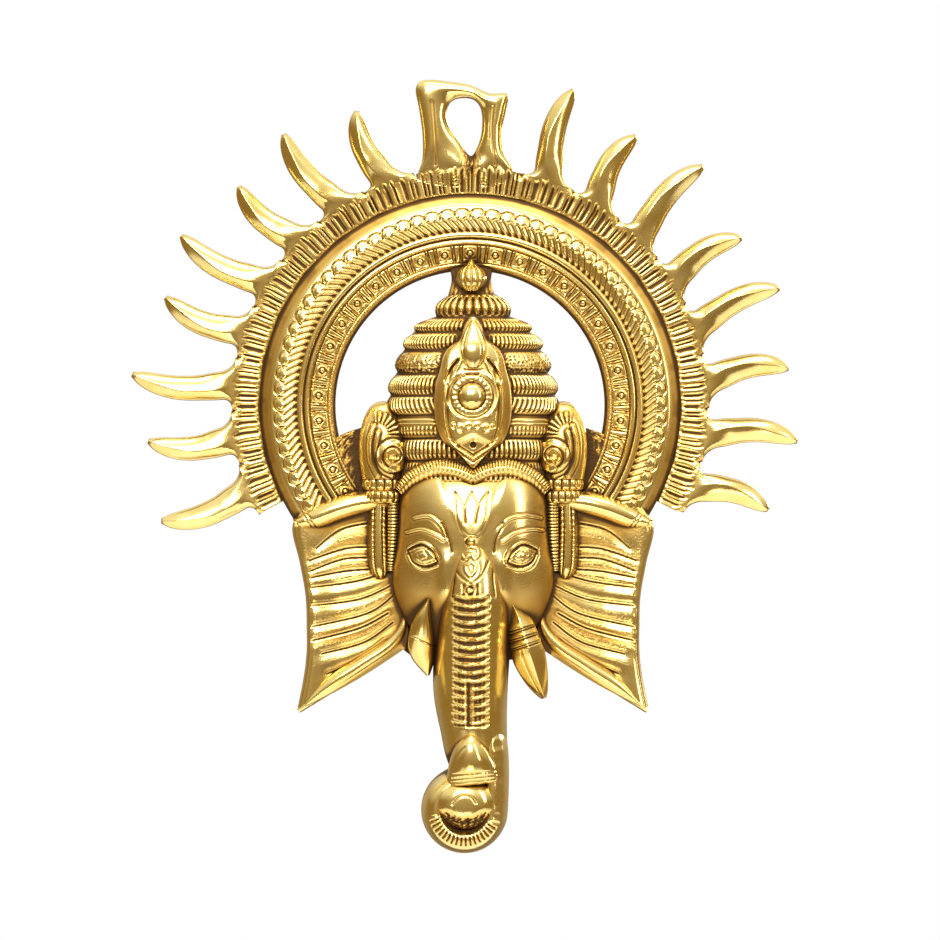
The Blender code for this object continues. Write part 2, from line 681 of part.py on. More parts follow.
def tusks():
    """The right tusk is whole, with three bands at its root. The left one is broken off at its sleeve."""
    root = [(13.6, -70.6, 0.9, 20.6), (16.2, -77.4, 4.4, 21.4)]
    bands = []
    for i in range(TUSK_BANDS):
        x, z = 17.0 + 0.9 * i, -80.2 - 2.9 * i
        bands.append((x, z, 5.4 + 0.2 * i, 22.8))
        bands.append((x + 0.5, z - 1.5, 5.3 + 0.2 * i, 21.2))
    tip = [
        (20.4, -91.5, 6.0, 21.0),
        (22.6, -98.0, 4.6, 18.6),
        (24.6, -103.2, 2.6, 16.6),
        (25.6, -105.8, 1.0, 15.4),
    ]
    whole = root + bands + tip
    stations = figure_stations([(x, z, half, deep * MM) for x, z, half, deep in whole])
    ribbon("tusk_right", stations, 4, len(whole) - 1, ridge_cross(0.55, 0.75))
    broken = (
        (-13.4, -71.0, 0.8, 20.0),
        (-15.8, -78.6, 3.6, 20.6),
        (-16.6, -86.0, 5.0, 19.6),
        (-15.4, -93.0, 3.8, 17.6),
        (-13.6, -98.0, 0.8, 15.0),
    )
    stations = figure_stations([(x, z, half, deep * MM) for x, z, half, deep in broken])
    ribbon("tusk_left", stations, 4, 6, ridge_cross(0.6, 0.75))


# Ears

# Root and rim of an ear, top to bottom, in millimetres from the figure's middle: root x, z, then rim x, z
EAR_STATIONS = (
    (27.0, -35.2, 62.0, -37.0),
    (27.0, -42.0, 65.4, -44.6),
    (27.4, -52.0, 62.8, -56.5),
    (27.6, -61.0, 60.6, -69.0),
    (26.4, -69.0, 60.2, -80.0),
    (24.6, -76.0, 60.2, -89.0),
    (23.4, -82.0, 61.2, -98.0),
    (24.6, -88.0, 63.6, -110.4),
)


def ear_surface(side):
    """Folds fan out from the root to the rim, which is turned up."""
    rows = 2 * EAR_FOLDS

    def surface(u, v):
        root_x, root_z, rim_x, rim_z = smooth_path(EAR_STATIONS, v)
        lower = max(0.0, v - 0.75) / 0.25
        x = root_x + (rim_x - root_x) * u
        z = root_z + (rim_z - root_z) * (u + 0.06 * lower * math.sin(math.pi * u))
        fold = EAR_FOLD_RISE * (round(v * rows) % 2) * min(1.0, 3 * u) * (1 - u**4)
        rim = (EAR_RIM_HEIGHT - EAR_BED_HEIGHT) * (u**6 if v < 0.97 else 1.0)
        px, pz = figure(side * x, z)
        return px, pz, EAR_BED_HEIGHT + fold + rim + 3.0 * MM * (1 - u) ** 2

    return surface


def ears():
    """Spread ears with fanned folds, a rolled top edge and a pointed lobe."""
    for side, name in ((-1, "left"), (1, "right")):
        relief(f"ear_{name}", 5, 2 * EAR_FOLDS, ear_surface(side))
        roll = (
            (28.0, -35.6, 3.4, 9.8),
            (38.0, -35.0, 4.2, 11.0),
            (48.0, -37.2, 4.4, 11.0),
            (57.0, -40.6, 4.2, 10.0),
            (64.6, -43.0, 2.0, 8.0),
        )
        stations = figure_stations([(side * x, z, half, deep * MM) for x, z, half, deep in roll])
        ribbon(f"ear_roll_{name}", stations, 4, 6, round_cross(0.45))
        hem = (
            (25.4, -70.0, 1.2, 7.6),
            (25.0, -79.0, 2.0, 9.4),
            (29.6, -86.4, 2.9, 9.6),
            (40.6, -94.0, 3.1, 9.4),
            (52.0, -101.4, 3.0, 9.0),
            (63.0, -110.6, 0.9, 7.4),
        )
        stations = figure_stations([(side * x, z, half, deep * MM) for x, z, half, deep in hem])
        ribbon(f"ear_hem_{name}", stations, 4, 8, round_cross(0.5))


def backing_plate():
    """The plain ground that ties the crown, the ears and the jaw to the ring."""
    outline = (
        (0.0, -2.0, 20.0),
        (0.0, -8.0, 41.0),
        (0.0, -13.0, 50.5),
        (0.0, -24.0, 52.0),
        (0.0, -34.0, 54.0),
        (0.0, -44.0, 52.0),
        (0.0, -60.0, 38.0),
        (0.0, -74.0, 30.0),
        (0.0, -86.0, 27.0),
        (0.0, -91.0, 22.0),
    )
    stations = figure_stations([(x, z, half, PLATE_HEIGHT) for x, z, half in outline])
    ribbon("backing_plate", stations, 1, 16, lambda t: 1.0)


# Cores that hollow the casting from behind

def cores():
    """The hollow follows the face, the crown and the trunk one wall thickness below their front."""
    rear = 3 * BACK_ALLOWANCE
    skin = CASTING_WALL

    def inside_face(u, v):
        z, half, deep = face_section(0.12 + 0.76 * v, skin * 1.5)
        t = (u - 0.5) * math.pi
        x, pz = figure(0, z)
        rise = 0.1 * deep + 0.9 * (deep - 0.5 * skin) * math.cos(t) ** 0.9
        return x + half * 0.93 * math.sin(t), pz, rise

    relief("core_face", 8, 6, inside_face, CORES, rear)

    def inside_crown(u, v):
        top, foot = 26.0, -30.0
        z = top + (foot - top) * v
        half = 15.0 + 10.0 * min(1.0, 1.8 * v)
        t = (u - 0.5) * math.pi
        x, pz = figure(half * math.sin(t), z)
        full = CROWN_DEPTH * (0.78 + 0.2 * v) - 2.2 * skin
        return x, pz, 0.1 * full + 0.9 * full * math.cos(t) ** 0.9

    relief("core_crown", 8, 4, inside_crown, CORES, rear + BACK_STEP)
    run = [(x, z, half * 0.94, height) for x, z, half, height in trunk_stations(skin * 1.25)][2:]
    ribbon("core_trunk", run, 6, 5, round_cross(0.15), CORES, rear + 2 * BACK_STEP)


def cut_flat():
    """The block that shaves everything behind the wall plane."""
    bm = bmesh.new()
    bmesh.ops.create_cube(bm, size=CUT_SIZE)
    bmesh.ops.translate(bm, verts=bm.verts, vec=(0.0, 0.5 * CUT_SIZE, 0.0))
    return add_mesh(bm, "cut_behind_wall", CORES)


def combine(first, operation, folder):
    """Adds one Boolean that joins or cuts with every block of a folder."""
    step = first.modifiers.new(operation.lower(), "BOOLEAN")
    step.operation = operation
    step.operand_type = "COLLECTION"
    step.collection = folder
    step.solver = "EXACT"


def brass():
    """The polished, lacquered brass of the casting."""
    material = bpy.data.materials.new("polished_brass")
    material.use_nodes = True
    shader = material.node_tree.nodes["Principled BSDF"]
    shader.inputs["Base Color"].default_value = BRASS
    shader.inputs["Metallic"].default_value = 1.0
    shader.inputs["Roughness"].default_value = 0.22
    return material


def build():
    """Makes the blocks, joins them to the ring, cuts the back and moves the origin to the hanging loop."""
    ring = halo_ring()
    flange()
    rays()
    hanging_loop()
    backing_plate()
    ears()
    face()
    eyes()
    crown()
    finial()
    crest()
    brim()
    side_crests()
    tusks()
    trunk()
    curl()
    cores()
    cut_flat()
    BLOCKS.objects.unlink(ring)
    MASK.objects.link(ring)
    ring.hide_render = False
    ring.display_type = "TEXTURED"
    combine(ring, "UNION", BLOCKS)
    combine(ring, "DIFFERENCE", CORES)
    bpy.context.view_layer.update()
    cast = bpy.data.meshes.new_from_object(
        ring.evaluated_get(bpy.context.evaluated_depsgraph_get())
    )
    bpy.data.objects.remove(ring, do_unlink=True)
    bm = bmesh.new()
    bm.from_mesh(cast)
    loop_z = HALO_OUTER_R + LOOP_BAR_RISE
    bmesh.ops.transform(bm, matrix=Matrix.Translation((-LOOP_CENTRE_X, 0.0, -loop_z)), verts=bm.verts)
    bmesh.ops.dissolve_limit(bm, angle_limit=math.radians(FLAT_ANGLE_DEG), verts=bm.verts, edges=bm.edges)
    mask = add_mesh(bm, "ganesha_mask", MASK)
    mask.data.materials.append(brass())
    mask.data.set_sharp_from_angle(angle=math.radians(35))


build()
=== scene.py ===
"""Looks of the cast brass wall mask of Ganesha in a sun halo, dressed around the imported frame."""
import math

import bpy
import numpy as np
from mathutils import Matrix, Vector


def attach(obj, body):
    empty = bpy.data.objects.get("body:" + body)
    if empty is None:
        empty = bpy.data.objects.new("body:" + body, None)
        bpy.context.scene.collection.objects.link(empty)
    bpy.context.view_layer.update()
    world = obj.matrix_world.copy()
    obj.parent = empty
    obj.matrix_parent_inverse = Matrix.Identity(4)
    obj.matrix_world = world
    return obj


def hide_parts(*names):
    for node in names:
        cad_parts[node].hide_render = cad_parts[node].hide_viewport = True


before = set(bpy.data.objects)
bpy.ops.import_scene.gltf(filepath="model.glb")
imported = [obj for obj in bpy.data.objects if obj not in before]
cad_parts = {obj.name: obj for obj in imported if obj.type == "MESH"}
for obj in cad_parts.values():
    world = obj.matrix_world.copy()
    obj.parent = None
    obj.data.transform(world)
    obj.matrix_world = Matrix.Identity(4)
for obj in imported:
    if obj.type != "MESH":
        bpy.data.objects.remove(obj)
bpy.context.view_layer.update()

# Halo ring. One cast brass band behind the crown: a stippled inner lip, a row of ringed dots in square
# frames, a double rib, a belt of overlapping scales and a smooth polished outer edge.
# It is cast in one with everything else. Plan sizes are millimetres from the halo's centre.

MM = 0.001
NODE = "ganesha_mask"
# Where the middle of the halo and of the figure lie in the part, x and z
HALO_AT = (1.8, -113.7)
FIGURE_AT = (2.9, -113.7)
SIDES = ((-1, "left"), (1, "right"))
CASTINGS = []
# The back takes every fourth point of the front
BACK_STEP = 4
# Each casting's back lies this much in front of the one before, so that no two backs share a plane
BACK_GAP = 0.012
# How far up the side wall the skirt lies, as a share of the height
SKIRT_SHARE = 0.15
SHARP_ANGLE = math.radians(70)


def grid(columns, rows):
    """Two arrays of shares from 0 to 1, u across the columns and v along the rows."""
    return np.meshgrid(np.linspace(0, 1, columns + 1), np.linspace(0, 1, rows + 1))


def line(distance, half):
    """1 on a line and falling to 0 on both sides of it, as a bell of that half width."""
    return np.exp(-((distance / half) ** 2))


def ease(low, high, value):
    """0 below low, 1 above high, and a smooth S between them."""
    share = np.clip((value - low) / (high - low), 0, 1)
    return share * share * (3 - 2 * share)


def span(value, up, down):
    """An S up between the first two values, 1 after it, and an S down between the last two."""
    return ease(*up, value) * (1 - ease(*down, value))


def dome(distance, radius=1.0):
    """Half a ball of that radius, 1 over its middle and 0 from its edge outwards."""
    return np.sqrt(np.clip(1 - (distance / radius) ** 2, 0, 1))


def wave(phase):
    """1 at each whole step of the phase and 0 halfway between: a cosine raised above zero."""
    return 0.5 + 0.5 * np.cos(2 * np.pi * phase)


def ribs(phase):
    """Rounded ribs, one for each whole step of the phase, with a sharp groove between two: half circles."""
    return dome(2 * (phase - np.floor(phase)) - 1)


def pebbles(x, z, waves, bends):
    """Uneven lumps from -1 to 1: a sine along x times one along z, each bent by a sine across it."""
    along, bend, cross, twist = waves
    return np.sin(x * along + bends[0] * np.sin(z * bend)) * np.sin(z * cross + bends[1] * np.sin(x * twist))


def rim_faces(front, back, marks):
    """Faces from one edge of the front grid to the coarser edge of the back, between the marks they share."""
    made = []
    for k, (a, b) in enumerate(zip(marks[:-1], marks[1:])):
        made.append([front[a], back[k], back[k + 1], *front[b:a:-1]])
    return made


def cast(name, x, z, height, at=FIGURE_AT, wall=None, core=None, dark=0.0, painted_shade=0.0):
    """A closed piece from a grid of plan places and heights above the wall plane, in millimetres.

    The front takes every point. The back takes every few, near the wall plane, or one wall thickness under
    the core height where the casting is hollow. The side wall goes down at full fineness to a skirt just
    above the back. Dark is how much stippled ground shows, from 0 to 1, and the last argument is how much
    amber painted shade is laid on, standing in for the darker reflections of the polished metal."""
    dark, painted_shade = dark + 0 * x, painted_shade + 0 * x
    core = height if core is None else core + 0 * x
    turn = np.gradient(x, axis=1) * np.gradient(z, axis=0) - np.gradient(x, axis=0) * np.gradient(z, axis=1)
    if turn.mean() < 0:
        x, z, height, dark, painted_shade, core = (a[:, ::-1] for a in (x, z, height, dark, painted_shade, core))
    rows, columns = x.shape
    down = np.unique(np.append(np.arange(0, rows, BACK_STEP), rows - 1))
    across = np.unique(np.append(np.arange(0, columns, BACK_STEP), columns - 1))
    picked = np.ix_(down, across)
    behind = 0 * x if wall is None else np.maximum(core - wall, 0)
    behind = behind + BACK_GAP * len(CASTINGS)
    front = np.arange(x.size).reshape(x.shape)
    rim = np.concatenate([front[0, :-1], front[:-1, -1], front[-1, :0:-1], front[:0:-1, 0]])
    skirt = np.zeros(x.size, dtype=int)
    skirt[rim] = x.size + np.arange(rim.size)
    skirt = skirt.reshape(x.shape)
    back = x.size + rim.size + np.arange(x[picked].size).reshape(x[picked].shape)
    fold = behind.ravel()[rim] + SKIRT_SHARE * (height - behind).ravel()[rim]
    plan_x = np.concatenate([x.ravel(), x.ravel()[rim], x[picked].ravel()]) + at[0]
    plan_z = np.concatenate([z.ravel(), z.ravel()[rim], z[picked].ravel()]) + at[1]
    rise = np.concatenate([height.ravel(), fold, behind[picked].ravel()])
    points = np.stack([plan_x, -rise, plan_z], axis=1) * MM
    quads = np.stack([front[:-1, :-1], front[:-1, 1:], front[1:, 1:], front[1:, :-1]], axis=-1).reshape(-1, 4)
    inner = np.stack([back[:-1, :-1], back[1:, :-1], back[1:, 1:], back[:-1, 1:]], axis=-1).reshape(-1, 4)
    hem = skirt.ravel()[rim]
    sides = np.stack([rim, hem, np.roll(hem, -1), np.roll(rim, -1)], axis=-1)
    faces = quads.tolist() + inner.tolist() + sides.tolist()
    faces += rim_faces(skirt[0], back[0], across)
    faces += rim_faces(skirt[:, -1], back[:, -1], down)
    faces += rim_faces(skirt[-1, ::-1], back[-1, ::-1], (columns - 1 - across)[::-1])
    faces += rim_faces(skirt[::-1, 0], back[::-1, 0], (rows - 1 - down)[::-1])
    mesh = bpy.data.meshes.new(name)
    mesh.from_pydata(points.tolist(), [], faces)
    mesh.shade_smooth()
    mesh.set_sharp_from_angle(angle=SHARP_ANGLE)
    piece = bpy.data.objects.new(name, mesh)
    bpy.context.scene.collection.objects.link(piece)
    mesh.materials.append(BRASS)
    CASTINGS.append((piece, x + at[0], z + at[1], height, dark, painted_shade, rim.size + back.size))
    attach(piece, "root")
    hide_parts(NODE)


class Wire:
    """A shader socket, so that an expression on values adds its Math nodes."""

    def __init__(self, tree, socket):
        self.tree = tree
        self.socket = socket

    def node(self, kind, settings=None, out=0, **inputs):
        """Adds a node, sets its settings, then its sockets, and gives one of its outputs."""
        made = self.tree.nodes.new(kind)
        for key, value in (settings or {}).items():
            setattr(made, key, value)
        for key, value in inputs.items():
            place = made.inputs[int(key[1:]) if key[1:].isdigit() else key.replace("_", " ")]
            if isinstance(value, Wire):
                self.tree.links.new(value.socket, place)
            else:
                place.default_value = value
        return Wire(self.tree, made.outputs[out])

    def sum(self, operation, a, b, clamp=False):
        return self.node("ShaderNodeMath", {"operation": operation, "use_clamp": clamp}, s0=a, s1=b)

    def __add__(self, other):
        return self.sum("ADD", self, other)

    __radd__ = __add__

    def __sub__(self, other):
        return self.sum("SUBTRACT", self, other)

    def __rsub__(self, other):
        return self.sum("SUBTRACT", other, self)

    def __mul__(self, other):
        return self.sum("MULTIPLY", self, other)

    __rmul__ = __mul__

    def clamp(self):
        return self.sum("ADD", self, 0.0, clamp=True)

    def mix(self, first, second):
        """A colour from first at 0 to second at 1."""
        return self.node("ShaderNodeMix", {"data_type": "RGBA"}, out=2, s0=self, s6=first, s7=second)


GOLD = (0.74, 0.555, 0.17, 1)
PALE_GOLD = (0.85, 0.73, 0.36, 1)
# Amber: thin patina, and also the painted shade that stands in for darker reflections
AMBER = (0.60, 0.35, 0.07, 1)
PATINA = (0.20, 0.105, 0.022, 1)
SOOT = (0.075, 0.036, 0.009, 1)
# The rubbing left fine scratches, which lean a little
SCRATCH_TURN = (0.0, 0.6, 0.0)
SCRATCH_SCALE = (300.0, 300.0, 5200.0)


def polished_brass():
    """Brass rubbed bright on every high place, with brown-black patina left in the hollows, and amber painted
    shade laid on where each piece asks for it.
    """
    material = bpy.data.materials.new("polished_brass")
    material.use_nodes = True
    tree = material.node_tree
    shader = tree.nodes["Principled BSDF"]
    start = Wire(tree, None)
    place = start.node("ShaderNodeTexCoord", out=3)
    recess_and_shade = start.node("ShaderNodeAttribute", {"attribute_name": "recess_and_shade"}, out=2)
    stipple = start.node("ShaderNodeAttribute", {"attribute_name": "stipple"}, out=2)
    cloud = start.node("ShaderNodeTexNoise", Vector=place, Scale=120.0, Detail=4.0, Roughness=0.6)
    grain = start.node("ShaderNodeTexNoise", Vector=place, Scale=1400.0, Detail=3.0, Roughness=0.7)
    pits = start.node("ShaderNodeTexVoronoi", Vector=place, Scale=1300.0, Randomness=1.0)
    stretched = start.node("ShaderNodeMapping", Vector=place, Rotation=SCRATCH_TURN, Scale=SCRATCH_SCALE)
    scratch = start.node("ShaderNodeTexNoise", Vector=stretched, Scale=1.0, Detail=2.0, Roughness=0.5)
    # Darkness of the colour: patina from the recess value, which also carries the amber painted shade, and
    # from the stippled ground
    patina_and_shade = (recess_and_shade * 1.1 + (cloud - 0.5) * 0.18 + (grain - 0.5) * 0.5 * stipple + stipple * 0.42).clamp()
    speck = ((pits * 2.2 - 0.35) * stipple).clamp()
    tone = (cloud * 1.6 - 0.45).clamp().mix(GOLD, PALE_GOLD)
    tone = (patina_and_shade * 1.6).clamp().mix(tone, AMBER)
    tone = (patina_and_shade * 2.0 - 0.80).clamp().mix(tone, PATINA)
    tone = (patina_and_shade * 2.6 - 1.60).clamp().mix(tone, SOOT)
    tree.links.new(tone.socket, shader.inputs["Base Color"])
    gloss = 0.17 + patina_and_shade * 0.42 + (scratch - 0.5) * 0.10 + (grain - 0.5) * 0.05 + speck * 0.1
    tree.links.new(gloss.clamp().socket, shader.inputs["Roughness"])
    metal = 1.0 - (patina_and_shade * 1.4 - 0.75).clamp() * 0.35
    tree.links.new(metal.socket, shader.inputs["Metallic"])
    relief = pits * (stipple + 0.02) + (grain - 0.5) * (0.05 + stipple * 0.5) + (scratch - 0.5) * 0.06
    bump = start.node("ShaderNodeBump", Strength=0.5, Distance=0.00035, Height=relief)
    tree.links.new(bump.socket, shader.inputs["Normal"])
    return material


BRASS = polished_brass()

HALO_INNER_R = 48.7
HALO_WIDTH = 27.3
HALO_HEIGHT = 8.4
HALO_END_DEG = 127.0
HALO_PROFILE = (
    (0.00, 0.34), (0.09, 0.60), (0.34, 0.78), (0.40, 0.84), (0.50, 0.86), (0.68, 0.97), (0.85, 0.88),
    (1.00, 0.56),
)
# How the rows of the ring are shared out over its radius: close together where the carving is fine
HALO_ROWS = ((0.0, 48.7), (0.05, 51.0), (0.36, 58.3), (0.50, 62.4), (0.92, 71.8), (1.0, 76.0))
FRAME_PITCH_DEG = 9.6
FRAME_MIDDLE_R = 54.8
SCALE_PITCH_DEG = 4.6
SCALE_MIDDLE_R = 68.2
# Turned lines: radius, half width, and how far the line stands out, below zero for a groove
RING_LINES = ((51.4, 0.28, -0.55), (57.8, 0.26, -0.5), (60.2, 0.3, -0.9), (58.7, 0.45, 0.45))


def polar(radius, degrees):
    """A plan place around the halo's centre, the angle counted from straight up, with the clock."""
    turn = np.radians(degrees)
    return radius * np.sin(turn), radius * np.cos(turn)


def halo_ring():
    """The profile turned around the centre, with the frames, ribs and scales carved into it by radius
    and by the angle's place in its own repeat."""
    u, v = grid(800, 74)
    degrees = (2 * u - 1) * HALO_END_DEG
    radius = np.interp(v, *zip(*HALO_ROWS))
    height = HALO_HEIGHT * np.interp((radius - HALO_INNER_R) / HALO_WIDTH, *zip(*HALO_PROFILE))
    # Square frames with a ringed dot
    along = (degrees / FRAME_PITCH_DEG + 0.5) % 1 - 0.5
    side = along * np.radians(FRAME_PITCH_DEG) * radius
    out = radius - FRAME_MIDDLE_R
    band = span(radius, (51.6, 51.9), (57.4, 57.8))
    height -= 0.30 * band * (1 - ease(2.1, 2.4, abs(side))) * (1 - ease(1.9, 2.2, abs(out)))
    for edge in (2.75, 3.65):
        height -= 0.5 * band * line(abs(side) - edge, 0.24)
    height += 0.25 * band * line(abs(side) - 3.2, 0.24)
    spot = np.hypot(side, out)
    height += band * (0.45 * line(spot - 1.55, 0.28) + 0.55 * dome(spot, 0.95))
    height -= band * 0.35 * line(spot - 1.12, 0.2)
    # Lines and ribs
    for middle, half, rise in RING_LINES:
        height += rise * line(radius - middle, half)
    height += 0.75 * (ease(60.4, 60.8, radius) - ease(61.9, 62.5, radius))
    # Overlapping scales: round lobes outwards, slanted pockets inwards
    belt = span(radius, (62.4, 63.0), (71.2, 71.9))
    lobe = (degrees / SCALE_PITCH_DEG) % 1 - 0.5
    lobe_side = lobe * np.radians(SCALE_PITCH_DEG) * radius
    reach = np.hypot(lobe_side, radius - SCALE_MIDDLE_R)
    slant = (2 * degrees / SCALE_PITCH_DEG - 0.30 * (SCALE_MIDDLE_R - radius)) % 1
    inner = belt * (1 - ease(67.0, 68.4, radius))
    outer = belt * ease(66.6, 67.8, radius)
    height += outer * (0.6 * dome(reach, 2.7) - 0.5 * line(reach - 2.75, 0.2))
    height -= outer * 0.35 * line(reach - 1.9, 0.18)
    height += inner * (0.4 * line(slant - 0.6, 0.15) - 0.5 * line(slant - 0.2, 0.13))
    height -= belt * 0.4 * (1 - ease(62.8, 64.4, radius))
    dark = 1.1 * (1 - ease(50.7, 51.3, radius)) + 0.4 * inner * (1 - ease(63.4, 65.0, radius))
    # Painted shade: amber laid on the smooth outer edge and on the row of frames
    painted_shade = 0.62 * ease(71.6, 72.6, radius) + 0.22 * band
    cast("halo_ring", *polar(radius, degrees), height, at=HALO_AT, dark=np.clip(dark, 0, 1), painted_shade=painted_shade)


halo_ring()

# Grooved flange and flame rays. Sixteen flames are cast on a band around the ring. Short radial grooves
# were cut into the band, and each flame rises out of it round and polished, bent a little by hand.
# Between two flames the band ends in a smooth hollow with a turned-down lip.

FLANGE_INNER_R = 74.2
FLANGE_OUTER_R = 85.8
FLANGE_HEIGHT = 4.3
GROOVE_DEPTH = 0.8
RAY_PITCH_DEG = 13.0
RAY_FIRST_DEG = 19.7
GROOVES_PER_RAY = 9
RAY_LENGTH = 35.5
RAY_TIPS = {
    1: (
        (18.2, 1.00), (31.7, 0.84), (44.3, 1.02), (58.4, 0.87), (69.3, 0.99), (83.4, 0.89), (96.3, 0.977),
        (109.4, 0.84),
    ),
    -1: (
        (21.1, 0.83), (34.5, 0.97), (46.6, 0.86), (59.6, 1.03), (70.5, 0.91), (84.8, 1.077), (96.4, 0.92),
        (110.6, 0.98),
    ),
}
RAY_BODY_HALF = 4.6
RAY_TIP_HALF = 0.97
HOLLOW_R = 5.0
RAY_RIDGE_HEIGHT = 6.4
RAY_EDGE_HEIGHT = 2.4
RAY_SWAY = 3.4
RAY_ROOT_R = 82.7
RAY_NECK_R = 91.5
# How the rows of a ray are shared out along it: closest together at the hollow beside its root
RAY_ROWS = (0, 0.16, 0.36, 0.6, 1)


def smooth_path(stations, share):
    """The smooth curve through the stations, each a tuple of numbers, at shares 0 to 1: a cubic between
    each two, whose slope at a station comes from the ones before and after it."""
    table = np.array(stations, dtype=float)
    spans = len(table) - 1
    place = np.clip(share, 0, 1) * spans
    i = np.minimum(place.astype(int), spans - 1)
    t = (place - i)[..., None]
    p, q, r, s = (table[np.clip(i + k, 0, spans)] for k in (-1, 0, 1, 2))
    curve = 0.5 * (2 * q + (r - p) * t + (2 * p - 5 * q + 4 * r - s) * t**2 + (3 * q - p - 3 * r + s) * t**3)
    return np.moveaxis(curve, -1, 0)


def ribbon(stations, columns, rows):
    """A strip along the path of the stations x, z, half width, height. It gives the plan places, the
    height of the station, the place across from -1 to 1 and the share along."""
    u, v = grid(columns, rows)
    x, z, half, height = smooth_path(stations, v[:, 0])
    slope_x, slope_z = np.gradient(x), np.gradient(z)
    length = np.hypot(slope_x, slope_z)
    along_x, along_z = (slope_x / length)[:, None], (slope_z / length)[:, None]
    across = np.sin((u - 0.5) * np.pi)
    plan_x = x[:, None] - along_z * half[:, None] * across
    plan_z = z[:, None] + along_x * half[:, None] * across
    return plan_x, plan_z, height[:, None] + 0 * u, across, v


def round_over(across, edge):
    """A rounded section that starts from a share of its height at both edges: half an ellipse."""
    return edge + (1 - edge) * dome(across)


def way_round(across):
    """How far round a half-round front a place across it lies, from -0.5 to 0.5."""
    return np.arcsin(np.clip(across, -1, 1)) / np.pi


def mirrored(stations, side):
    """Stations drawn for the right side, put on the side asked for."""
    return [(side * x, z, half, height) for x, z, half, height in stations]


def ridge_over(across, ridge, edge):
    """Two flat facets that rise from the edges to a ridge at that place across."""
    share = np.where(across < ridge, (1 + across) / (1 + ridge), (1 - across) / (1 - ridge))
    return edge + (1 - edge) * np.clip(share, 0, 1)


def grooves(radius, degrees, under_ray):
    """Depth of the short radial grooves: narrow lines at a slightly uneven pitch, up to a wavy end."""
    uneven = degrees / RAY_PITCH_DEG * GROOVES_PER_RAY
    uneven = uneven + 0.22 * np.sin(degrees * 1.7) + 0.15 * np.sin(degrees * 0.61)
    end = 83.2 + 3.0 * under_ray + 0.7 * np.sin(degrees * 2.9)
    return line((uneven % 1) - 0.5, 0.21) * ease(76.4, 77.4, radius) * (1 - ease(-1.6, 0.4, radius - end))


def flame_ray(name, root_deg, tip_deg, length):
    """Rows run across from one hollow to the next. The middle line sways against the clock by a sine of
    its run. The half width follows the round hollow beside it, then narrows to a blunt tip."""
    u, v = grid(42, 86)
    across = np.sin((u - 0.5) * np.pi) * 0.5 + (u - 0.5)
    full = RAY_ROOT_R + length + 1.9
    stops = (FLANGE_INNER_R, FLANGE_OUTER_R - 0.2, FLANGE_OUTER_R + 1.0, RAY_NECK_R, full)
    radius = np.interp(v, RAY_ROWS, stops)
    out = radius - FLANGE_OUTER_R
    s = np.clip((radius - RAY_ROOT_R) / (full - RAY_ROOT_R), 0, 1)
    sector = radius * math.tan(math.radians(RAY_PITCH_DEG / 2))
    bite = np.sqrt(np.clip(HOLLOW_R**2 - (HOLLOW_R - np.clip(out, 0, HOLLOW_R)) ** 2, 0, None))
    body = RAY_BODY_HALF * np.clip(1 - s**4, 0, 1) ** 0.5
    free = ease(0.0, 13.0, out)
    half = (sector - bite) * (1 - free) + np.maximum(body, RAY_TIP_HALF) * free
    sway = RAY_SWAY * np.sin(np.pi * s**1.25)
    degrees = root_deg + (tip_deg - root_deg) * s
    x, z = polar(radius, degrees)
    side_x, side_z = polar(1.0, degrees - 90)
    x, z = x + side_x * sway, z + side_z * sway
    run_x, run_z = np.gradient(x, axis=0), np.gradient(z, axis=0)
    run = np.hypot(run_x, run_z)
    turn = ease(-2.0, 6.0, out)
    axis_x, axis_z = polar(1.0, degrees)
    axis_x, axis_z = axis_x + (run_x / run - axis_x) * turn, axis_z + (run_z / run - axis_z) * turn
    plan_x, plan_z = x + axis_z * half * across, z - axis_x * half * across
    ridge = 0.35 * ease(0.0, 8.0, out) * (1 - ease(0.45, 0.8, s))
    edge = RAY_EDGE_HEIGHT / RAY_RIDGE_HEIGHT
    horn = 0.4 * ridge_over(-across, ridge, edge) + 0.6 * round_over(across, edge)
    web = edge + (1 - edge) * np.clip(1 - np.abs(across) ** 7, 0, 1) ** 0.6
    rounded = ease(0.0, 9.0, out)
    section = 1 + ((1 - rounded) * web + rounded * horn - 1) * ease(-2.2, 0.5, out)
    rise = FLANGE_HEIGHT + (RAY_RIDGE_HEIGHT - FLANGE_HEIGHT) * ease(-5.0, 11.0, out)
    rise = rise * (1 - 0.35 * s**2) * (0.6 + 0.4 * np.sqrt(np.clip(1 - s**14, 0, 1)))
    under_ray = np.clip(1 - np.abs(across), 0, 1)
    cut = grooves(radius, degrees + np.degrees(np.arctan2(half * across, radius)), under_ray)
    height = rise * section - GROOVE_DEPTH * cut
    height -= 0.7 * (1 - ease(75.8, 77.0, radius))
    # Painted shade: amber low on the flame near the band and along one side of it
    painted_shade = 0.22 * (1 - ease(-2.0, 9.0, out)) + 0.16 * ease(0.2, 0.9, -across)
    pitted = 0.45 * line(out + 1.0, 1.6) * ease(0.35, 0.8, np.abs(across))
    cast(name, plan_x, plan_z, height, at=HALO_AT, dark=0.25 * cut + pitted, painted_shade=painted_shade)


for side, side_name in SIDES:
    for i, (tip, share) in enumerate(RAY_TIPS[side]):
        root = RAY_FIRST_DEG + i * RAY_PITCH_DEG
        flame_ray(f"flame_ray_{side_name}_{i}", side * root, side * tip, share * RAY_LENGTH)

# Hanging loop. Two cast horns rise from the grooved band on both sides of a drop-shaped eye, and a bar
# joins them over it. The mask hangs from a nail under that bar.

LOOP_HEIGHT = 6.6
